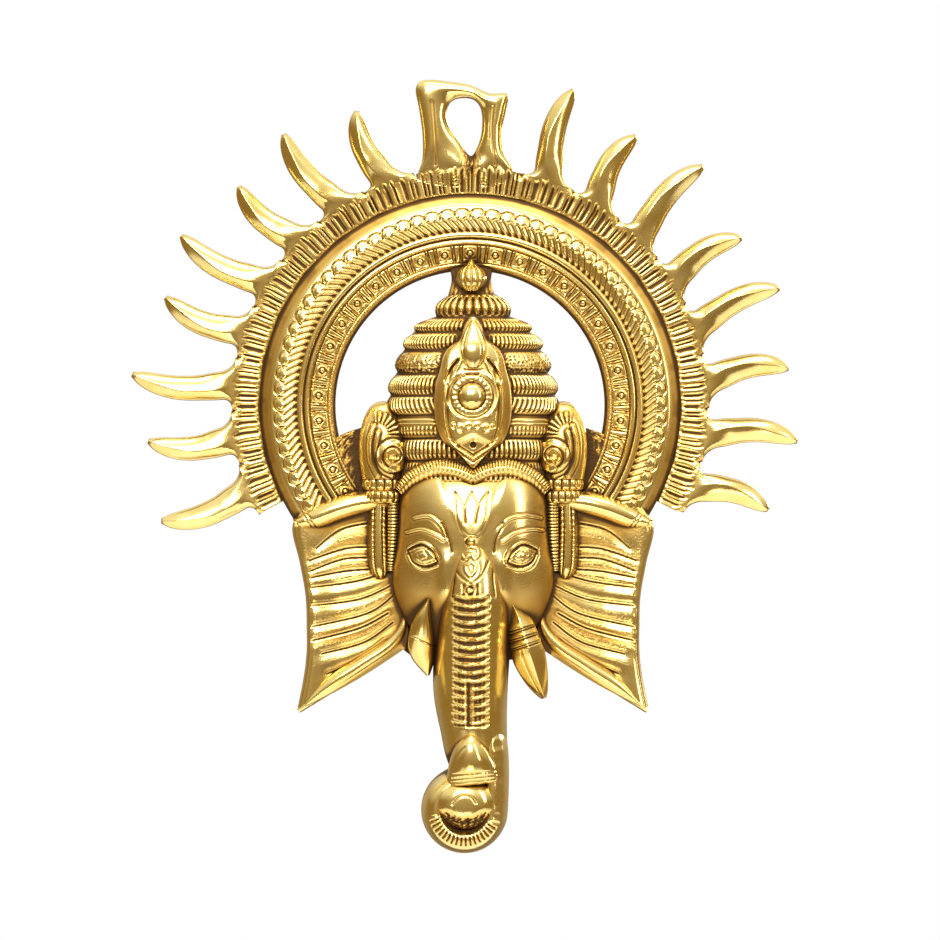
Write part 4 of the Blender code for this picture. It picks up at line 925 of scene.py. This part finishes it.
def face():
    """Each row is half an ellipse across. Lines are cut or raised by their distance, the eyes are small
    domes, and a bright panel leans back between the brows."""
    u, v = grid(196, 200)
    level, half, deep = smooth_path(FACE_STATIONS, v[:, 0])
    level, half, deep = (a[:, None] + 0 * u for a in (level, half, deep * FACE_DEPTH))
    w = 2 * u - 1
    across = 1.3 * w - 0.3 * w**3
    x, z = half * across, level
    foot = 0.22 * FACE_DEPTH
    core = foot + (deep - foot) * np.clip(1 - across * across, 0, 1) ** 0.375
    fall = np.clip((PANEL_TOP - z) / (PANEL_TOP - PANEL_POINT), 0, 1)
    panel_half = PANEL_HALF * (1 - fall**1.6) + 0.3
    inside = 1 - ease(panel_half - 1.7, panel_half + 1.4, np.abs(x - FACE_MIDDLE))
    height = core + inside * (2.8 * fall - 1.4)
    beside = np.abs(np.abs(x - 0.4) - 10.2)
    height += 1.6 * line(beside, 3.2) * span(z, (-50, -58), (-66, -76))
    for points in MARK_LINES:
        height -= 0.30 * line(away_from(x, z, points), 0.30)
    dot = np.hypot(x - MARK_DOT[0], z - MARK_DOT[1])
    height += 0.6 * dome(dot, 1.1) - 0.5 * line(dot - 1.6, 0.25)
    for points in BROW_LINES:
        height += inlaid(away_from(x, z, points))
    plain = np.abs(x - FACE_MIDDLE)
    lean_x = (plain - EYE_AT[0]) * 0.95 + (z - EYE_AT[1]) * 0.3
    lean_z = (z - EYE_AT[1]) * 0.95 - (plain - EYE_AT[0]) * 0.3
    ball = np.hypot(lean_x / 4.6, lean_z / 2.6)
    height += dome(ball) - 0.6 * line(np.hypot(lean_x / 5.4, lean_z / 3.5) - 1, 0.16)
    iris = np.abs(lean_x) / 2.1 + np.abs(lean_z) / 1.7
    height -= 0.4 * line(iris - 1, 0.14)
    for points in LID_LINES:
        height += inlaid(both_sides(x, z, points, FACE_MIDDLE), 0.45, 0.34)
    height -= 0.6 * line(both_sides(x, z, CREASE, FACE_MIDDLE), 0.4)
    # Painted shade: amber outside the bright panel, more towards the sides and the lower cheeks
    painted_shade = (1 - inside) * (0.10 + 0.25 * ease(0.55, 0.9, np.abs(across)) + 0.30 * ease(-58, -74, z))
    cast("face", x, z, height, wall=FACE_WALL, core=core - 0.4, painted_shade=painted_shade)


face()

# Trunk. Hollow cast, straight down from the brow, with raised rungs across its front and plain polished
# sides. The lowest part curls round its own tip and holds a sweet.

TRUNK_DEPTH = 30.0
TRUNK_WALL = 3.6
TRUNK_STATIONS = (
    (0.2, -46.5, 7.6, 0.79), (0.4, -52.0, 9.8, 0.855), (0.6, -59.0, 12.3, 0.915), (0.6, -72.0, 14.0, 0.985),
    (-0.4, -88.0, 13.8, 1.00), (-0.9, -103.0, 13.4, 0.97), (0.2, -116.0, 12.1, 0.93),
    (1.6, -127.0, 10.8, 0.86), (4.6, -134.0, 7.6, 0.82),
)
RUNG_TOP = -69.4
RUNG_BOTTOM = -115.6
RUNG_PITCH = 3.0
RUNG_MIDDLE = -0.9
RUNG_HALF = 6.6
# Below this the rungs are in two columns, with a dark stem between them
RUNG_SPLIT = -98.0
COLLAR = ((-7.4, -56.4), (-5.2, -61.0), (-1.1, -64.0), (3.0, -61.4), (5.4, -56.4))
# Right half of a small raised ornament: two curls over a bud
SCROLL_LINES = (
    ((0.0, -50.8), (2.2, -51.6), (3.0, -53.8), (1.8, -55.4), (0.6, -54.2)),
    ((0.0, -56.4), (1.7, -57.8), (1.5, -60.0), (0.0, -61.8)),
)
SCROLL_MIDDLE = -1.0
NOSE_MIDDLE = 0.2
NOSE_CREASE = ((-6.8, -50.0), (-7.2, -56.0), (-6.8, -62.0), (-7.6, -69.0))
SEED_AT = (-1.1, -66.8)


def trunk():
    """A half-round strip. The rungs are thin ridges at an even pitch that fade out to both sides, over
    ground with upright stripes. Above them lie a striped field with a seed in it, a cut collar and an
    ornament of curls, all drawn by distance from lines."""
    stations = [(x, z, half, deep * TRUNK_DEPTH) for x, z, half, deep in TRUNK_STATIONS]
    x, z, high, across, v = ribbon(stations, 104, 276)
    core = high * round_over(across, 0.30)
    aside = x - RUNG_MIDDLE
    rung = ((z - 0.03 * aside**2 - 0.12 * np.sin(aside * 0.9 + z * 0.8) - RUNG_TOP) / RUNG_PITCH) % 1
    breadth = 1 - ease(RUNG_HALF - 1.2, RUNG_HALF + 1.0, np.abs(aside))
    live = breadth * span(z, (RUNG_BOTTOM - 1, RUNG_BOTTOM + 0.5), (RUNG_TOP + 0.5, RUNG_TOP + 1.2))
    stem = line(aside + 0.7, 0.8) * ease(-RUNG_SPLIT, -RUNG_SPLIT + 3, -z)
    crest = line(np.minimum(rung, 1 - rung), 0.19) * (1 - stem)
    striped = (1 - crest) * (0.5 + 0.5 * np.sin(aside * 4.2))
    height = core + live * (1.15 * crest - 0.55 - 0.12 * striped - 0.5 * stem)
    field = (1 - ease(3.6, 4.4, np.abs(aside))) * span(z, (RUNG_TOP + 0.6, RUNG_TOP + 1.4), (-64.8, -63.4))
    height -= field * 0.5 * (0.5 + 0.5 * np.cos(aside * 2.6))
    height -= 0.45 * line(away_from(x, z, COLLAR), 0.35)
    for points in SCROLL_LINES:
        height += inlaid(both_sides(x, z, points, SCROLL_MIDDLE), 0.36, 0.42)
    height -= 0.7 * line(np.hypot(x - SEED_AT[0], z - SEED_AT[1]) - 1.3, 0.4)
    height -= 0.5 * line(both_sides(x, z, NOSE_CREASE, NOSE_MIDDLE), 0.4)
    dark = 0.7 * live * (1 - crest) * (1 - ease(3.0, 6.4, np.abs(aside))) + 0.5 * field
    # Painted shade: amber outside the rungs
    cast("trunk", x, z, height, wall=TRUNK_WALL, core=core - 0.6, dark=dark, painted_shade=0.2 * (1 - live))


trunk()

CURL_AT = (-3.1, -146.2)
CURL_R = 10.2
CURL_HEIGHT = 24.0
CURL_TUBE_HALF = 5.45
# The tube on its way down, before it turns
CURL_RUN = ((6.2, -115.0, 4.6, 21.5), (6.4, -122.0, 6.0, 24.6), (7.0, -132.0, 6.0, 24.2))
TEETH = 40
SIDE_RUNGS = 26


def on_curl(degrees, half, right=0.0, up=0.0):
    """A station on the curl's circle, at an angle from the right, moved a little where asked."""
    turn = math.radians(degrees)
    x = CURL_AT[0] + CURL_R * math.cos(turn) + right
    return x, CURL_AT[1] + CURL_R * math.sin(turn) + up, half, CURL_HEIGHT


def trunk_curl():
    """A round tube goes down on the right, with short rungs on its outer side, then round the bottom and up
    on the left. A crescent of small teeth is cut into it at the bottom."""
    around = [*CURL_RUN, *(on_curl(degrees, CURL_TUBE_HALF) for degrees in range(0, -246, -24))]
    around.append(on_curl(-258, 5.0, 1.0, 1.5))
    x, z, high, across, v = ribbon(around, 56, 236)
    tooth = wave(TEETH * v) ** 1.3
    band = span(across, (-0.22, -0.08), (0.38, 0.56)) * span(v, (0.26, 0.31), (0.69, 0.74))
    rung = wave(SIDE_RUNGS * v) ** 0.7 * line(across - 0.42, 0.30) * span(v, (0.04, 0.07), (0.26, 0.31))
    height = high * round_over(across, 0.35) - 0.8 * tooth * band - 0.7 * rung
    # A little amber painted shade all over the curl
    cast("trunk_curl", x, z, height, dark=0.35 * band + 0.2 * rung, painted_shade=0.15)


# Half widths of the tip's dome, and its middle from the curl's
TIP_HALVES = (11.8, 9.8)
TIP_AWAY = (0.5, 2.6)
TIP_FOOT = 18.6
TIP_RISE = 8.6
LIP_LINE = ((-7.4, -143.4), (-4.8, -140.6), (-1.4, -140.4), (1.0, -143.0))
# Left half of the fold under the nostril, out from its middle
FOLD_MIDDLE = CURL_AT[0] + 0.6
FOLD_LINE = ((-0.5, -150.4), (-4.5, -149.4), (-7.1, -146.6))


def trunk_tip():
    """Rings from an oval edge in to the middle, rounded over. A lip and a fold are cut round the nostril,
    and the lower edge keeps a dark crescent of rough ground."""
    u, v = grid(110, 44)
    angle = 2 * np.pi * u
    reach = 1 - v
    x = CURL_AT[0] + TIP_AWAY[0] + TIP_HALVES[0] * reach * np.cos(angle)
    z = CURL_AT[1] + TIP_AWAY[1] + TIP_HALVES[1] * reach * np.sin(angle)
    height = TIP_FOOT + TIP_RISE * np.sqrt(np.clip(1 - reach**2.6, 0, 1))
    height -= 0.5 * line(away_from(x, z, LIP_LINE), 0.45)
    height -= 1.5 * line(np.hypot(x - CURL_AT[0] - 1.2, (z - CURL_AT[1] + 3.2) / 1.4), 0.9)
    height -= 0.4 * line(both_sides(x, z, FOLD_LINE, FOLD_MIDDLE), 0.4)
    patina_and_shade = ease(0.40, 0.62, reach) * ease(-1.5, 3.0, CURL_AT[1] - z)
    height += patina_and_shade * (0.4 * pebbles(x, z, (3.1, 2.3, 3.4, 1.7), (2, 1)) - 0.9)
    # Painted shade: a little amber all over the tip, more on the rough crescent
    cast("trunk_tip", x, z, height, dark=0.9 * patina_and_shade, painted_shade=0.15 + 0.2 * patina_and_shade)


SWEET = (
    (-0.6, -118.2, 0.9, 26.4), (-0.7, -119.4, 3.6, 28.4), (-0.8, -123.0, 5.9, 30.4),
    (-0.6, -128.0, 7.9, 31.0), (-0.2, -133.0, 9.2, 29.8), (0.2, -136.6, 9.7, 27.4),
)
SWEET_PLEAT = ((-7.4, -131.6), (-5.4, -126.0), (-3.0, -123.0))
# Where the rows of beads run round the sweet, as shares of its length
BEAD_ROWS = (0.80, 0.87, 0.94)


def sweet():
    """A round strip that widens to its base, with rows of beads between fine lines and one pleat."""
    x, z, high, across, v = ribbon(SWEET, 70, 84)
    height = high * round_over(across, 0.70) - 0.8 * ease(0.95, 1.0, v)
    for mark in BEAD_ROWS:
        beads = ribs(across * 9 + 5 * mark)
        height += (0.5 * beads - 0.35) * line(v - mark, 0.022) - 0.35 * line(v - mark + 0.034, 0.012)
    height -= 0.4 * line(away_from(x, z, SWEET_PLEAT), 0.3)
    # Painted shade: amber towards the pointed top of the sweet
    cast("sweet", x, z, height, painted_shade=0.35 * (1 - ease(0.1, 0.4, v)))


trunk_curl()
trunk_tip()
sweet()

# Tusks. Cast with the face: the one on the right is whole, with three double bands round its root, and
# the one on the left is broken off at its sleeve.

TUSK_ROOT = ((13.6, -70.6, 0.9, 20.6), (16.2, -77.4, 4.4, 21.4))
TUSK_BANDS = 3
TUSK_TIP = (
    (20.4, -91.5, 6.0, 21.0), (22.6, -98.0, 4.6, 18.6), (24.6, -103.2, 2.6, 16.6), (25.6, -105.8, 1.0, 15.4),
)
BROKEN_TUSK = (
    (-16.0, -69.9, 0.5, 22.2), (-17.9, -76.6, 3.0, 22.6), (-18.6, -82.2, 4.3, 21.6),
    (-18.6, -87.6, 4.7, 19.8), (-17.3, -92.6, 3.5, 17.8), (-16.2, -97.6, 0.6, 15.8),
)


def tusks():
    """The whole tusk is a strip with a soft ridge and a groove on each side of every band. The broken one is
    a round strip with one cut across it."""
    stations = [*TUSK_ROOT]
    for i in range(TUSK_BANDS):
        stations.append((17.0 + 0.9 * i, -80.2 - 2.9 * i, 5.4 + 0.2 * i, 22.4))
        stations.append((17.5 + 0.9 * i, -81.7 - 2.9 * i, 5.3 + 0.2 * i, 21.8))
    stations += TUSK_TIP
    x, z, high, across, v = ribbon(stations, 50, 130)
    rise = high * (0.6 * ridge_over(across, 0.1, 0.74) + 0.4 * round_over(across, 0.74))
    for i in range(TUSK_BANDS):
        from_band = v - (len(TUSK_ROOT) + 2 * i + 0.5) / (len(stations) - 1)
        rise -= 0.7 * line(from_band + 0.028, 0.010) + 0.7 * line(from_band - 0.028, 0.010)
        rise += 0.3 * line(from_band, 0.012)
    rise -= 0.3 * line(across + 0.35, 0.06) * span(v, (0.62, 0.68), (0.88, 0.95))
    # A little amber painted shade all over the whole tusk
    cast("tusk_right", x, z, rise, painted_shade=0.28)
    x, z, high, across, v = ribbon(BROKEN_TUSK, 48, 90)
    rise = high * round_over(across, 0.80) - 0.6 * line(z + 0.45 * x + 93.2, 0.25)
    # A little amber painted shade all over the broken tusk
    cast("tusk_left", x, z, rise, painted_shade=0.32)


tusks()

# Patina. The whole casting was dipped dark and then rubbed: what lies lower than its surroundings keeps
# the dark. The fronts of all pieces are laid on one map of heights, which is blurred at three widths.

MAP_LOW = (-130.0, -290.0)
MAP_SIZE = (260.0, 310.0)
MAP_CELL = 0.5
# Width of each blur and the drop below it that counts as fully dark, in millimetres
HOLLOWS = ((0.8, 0.8), (2.2, 2.6), (5.5, 8.0))
FINE_DROP = 0.32
# How recessed and how stippled the foot of the side walls and the backs are
BACK_RECESS = 0.38
BACK_STIPPLE = 0.35


def map_cell(x, z):
    """Row and column of the height map for plan places."""
    return ((z - MAP_LOW[1]) / MAP_CELL).astype(int), ((x - MAP_LOW[0]) / MAP_CELL).astype(int)


def blurred(field, width):
    """The field under a round bell of that width, worked out through its waves."""
    waves_z = np.fft.fftfreq(field.shape[0], MAP_CELL)[:, None]
    waves_x = np.fft.rfftfreq(field.shape[1], MAP_CELL)[None, :]
    bell = np.exp(-2 * (np.pi * width) ** 2 * (waves_z**2 + waves_x**2))
    return np.fft.irfft2(np.fft.rfft2(field) * bell, field.shape)


def read(field, x, z):
    """The field at plan places, between its four nearest cells by their shares."""
    row, column = (z - MAP_LOW[1]) / MAP_CELL - 0.5, (x - MAP_LOW[0]) / MAP_CELL - 0.5
    i, j = np.floor(row).astype(int), np.floor(column).astype(int)
    up, right = row - i, column - j
    low = field[i, j] * (1 - right) + field[i, j + 1] * right
    high = field[i + 1, j] * (1 - right) + field[i + 1, j + 1] * right
    return low * (1 - up) + high * up


def dip(height, reach=2):
    """How far each point lies under the mean of its eight neighbours a few steps away."""
    wide = np.pad(height, reach, mode="edge")
    rows, columns = height.shape
    total = 0
    for down in (0, reach, 2 * reach):
        for across in (0, reach, 2 * reach):
            total = total + wide[down : down + rows, across : across + columns]
    return (total / 9 - height) * 9 / 8


def patina():
    """Writes how recessed each point is, with the amber painted shade added in, and how stippled it is, as
    two attributes of each piece.
    """
    heights = np.zeros((int(MAP_SIZE[1] / MAP_CELL), int(MAP_SIZE[0] / MAP_CELL)))
    for piece, x, z, height, dark, painted_shade, rear in CASTINGS:
        np.maximum.at(heights, map_cell(x, z), height)
    wide = np.pad(heights, 1)
    shifts = [wide[a : a + heights.shape[0], b : b + heights.shape[1]] for a in range(3) for b in range(3)]
    heights = np.where(heights > 0, heights, np.max(shifts, axis=0))
    fields = [(blurred(heights, width), drop) for width, drop in HOLLOWS]
    for piece, x, z, height, dark, painted_shade, rear in CASTINGS:
        recess_and_shade = 0.55 * np.clip(dip(height) / FINE_DROP, -0.4, 1)
        for field, drop in fields:
            recess_and_shade = recess_and_shade + 0.42 * np.clip((read(field, x, z) - height) / drop, -0.25, 1.2)
        # The amber painted shade of each piece is added into its recess value here
        recess_and_shade = np.clip(recess_and_shade + 0.25 * dark + painted_shade, 0, 1)
        for name, values, behind in (("recess_and_shade", recess_and_shade, BACK_RECESS), ("stipple", dark, BACK_STIPPLE)):
            values = np.append(values.ravel(), np.full(rear, behind))
            attribute = piece.data.attributes.new(name, "FLOAT", "POINT")
            attribute.data.foreach_set("value", values.astype(np.float32))


patina()

# Studio. A pale floor well below the hanging mask, a white room and soft lights, and a long lens
# straight in front.

WHITE = (1, 1, 1, 1)
ROOM_LOW = (0.16, 0.09, 0.03, 1)
ROOM_LEVEL = (0.54, 0.43, 0.27, 1)
ROOM_SIDES = (0.36, 0.24, 0.09, 1)
ROOM_TOP = (1.20, 1.17, 1.08, 1)
FLOOR_COLOUR = (0.85, 0.84, 0.82, 1)
FLOOR_AT = (0, -0.2, -0.80)
FLOOR_SIZE = (2.4, 1.6, 1, 1)
# Each light is turned to the mask's middle: name, place in metres, size, power, colour
LIGHTS_AIM = (0.0018, 0.0, -0.137)
LIGHTS = (
    ("key", (-0.14, -1.00, 0.42), (0.62, 0.42), 12, (1, 1, 1)),
    ("fill", (0.75, -0.60, 0.20), (0.15, 0.7), 2.2, (1, 1, 1)),
    ("top", (0.05, -0.35, 0.75), (0.8, 0.3), 4.5, (1, 1, 1)),
    ("rear", (0.9, 1.2, 0.35), (0.8, 0.8), 16, (1, 1, 1)),
    ("low", (-0.1, -0.9, -0.75), (0.5, 0.15), 1.5, (1.0, 0.85, 0.6)),
)
CAMERA_AT = (0.0018, -3.0, -0.1372)
# The width that the picture takes in at the wall plane
VIEW_WIDTH = 0.3405


def light(name, at, size, power, colour):
    """A soft rectangular area light, turned to the middle of the mask and hidden from the camera."""
    lamp = bpy.data.lights.new(name, "AREA")
    lamp.shape = "RECTANGLE"
    lamp.size, lamp.size_y = size
    lamp.energy = power
    lamp.color = colour
    made = bpy.data.objects.new(name, lamp)
    made.location = at
    made.rotation_euler = (Vector(LIGHTS_AIM) - Vector(at)).to_track_quat("-Z", "Y").to_euler()
    made.visible_camera = False
    bpy.context.scene.collection.objects.link(made)


def studio():
    """White behind the mask for the camera, and a soft gradient from floor to ceiling for the metal."""
    world = bpy.data.worlds.new("studio")
    bpy.context.scene.world = world
    world.use_nodes = True
    tree = world.node_tree
    start = Wire(tree, None)
    way = start.node("ShaderNodeTexCoord", out=0)
    up = start.node("ShaderNodeSeparateXYZ", out=2, Vector=way)
    side = start.node("ShaderNodeSeparateXYZ", out=0, Vector=way)
    room = (up * 1.5 + 0.9).clamp().mix(ROOM_LOW, ROOM_LEVEL)
    room = (side * side * 2.4 - 0.6).clamp().mix(room, ROOM_SIDES)
    room = (up * 2.2 - 0.42).clamp().mix(room, ROOM_TOP)
    seen = start.node("ShaderNodeLightPath", out=0)
    tree.links.new(seen.mix(room, WHITE).socket, tree.nodes["Background"].inputs["Color"])
    tree.nodes["Background"].inputs["Strength"].default_value = 1.0
    for lamp in LIGHTS:
        light(*lamp)
    bpy.ops.mesh.primitive_plane_add(size=1.0, location=(0, 0, 0))
    floor = bpy.context.object
    floor.name = "floor"
    floor.data.transform(Matrix.Translation(FLOOR_AT) @ Matrix.Diagonal(FLOOR_SIZE))
    paint = bpy.data.materials.new("pale_floor")
    paint.use_nodes = True
    shader = paint.node_tree.nodes["Principled BSDF"]
    shader.inputs["Base Color"].default_value = FLOOR_COLOUR
    shader.inputs["Roughness"].default_value = 0.8
    floor.data.materials.append(paint)
    lens = bpy.data.cameras.new("camera")
    camera = bpy.data.objects.new("camera", lens)
    bpy.context.scene.collection.objects.link(camera)
    camera.location = CAMERA_AT
    camera.rotation_euler = (math.radians(90), 0, 0)
    lens.lens = lens.sensor_width * -CAMERA_AT[1] / VIEW_WIDTH
    bpy.context.scene.camera = camera
    bpy.context.scene.view_settings.view_transform = "Standard"


studio()
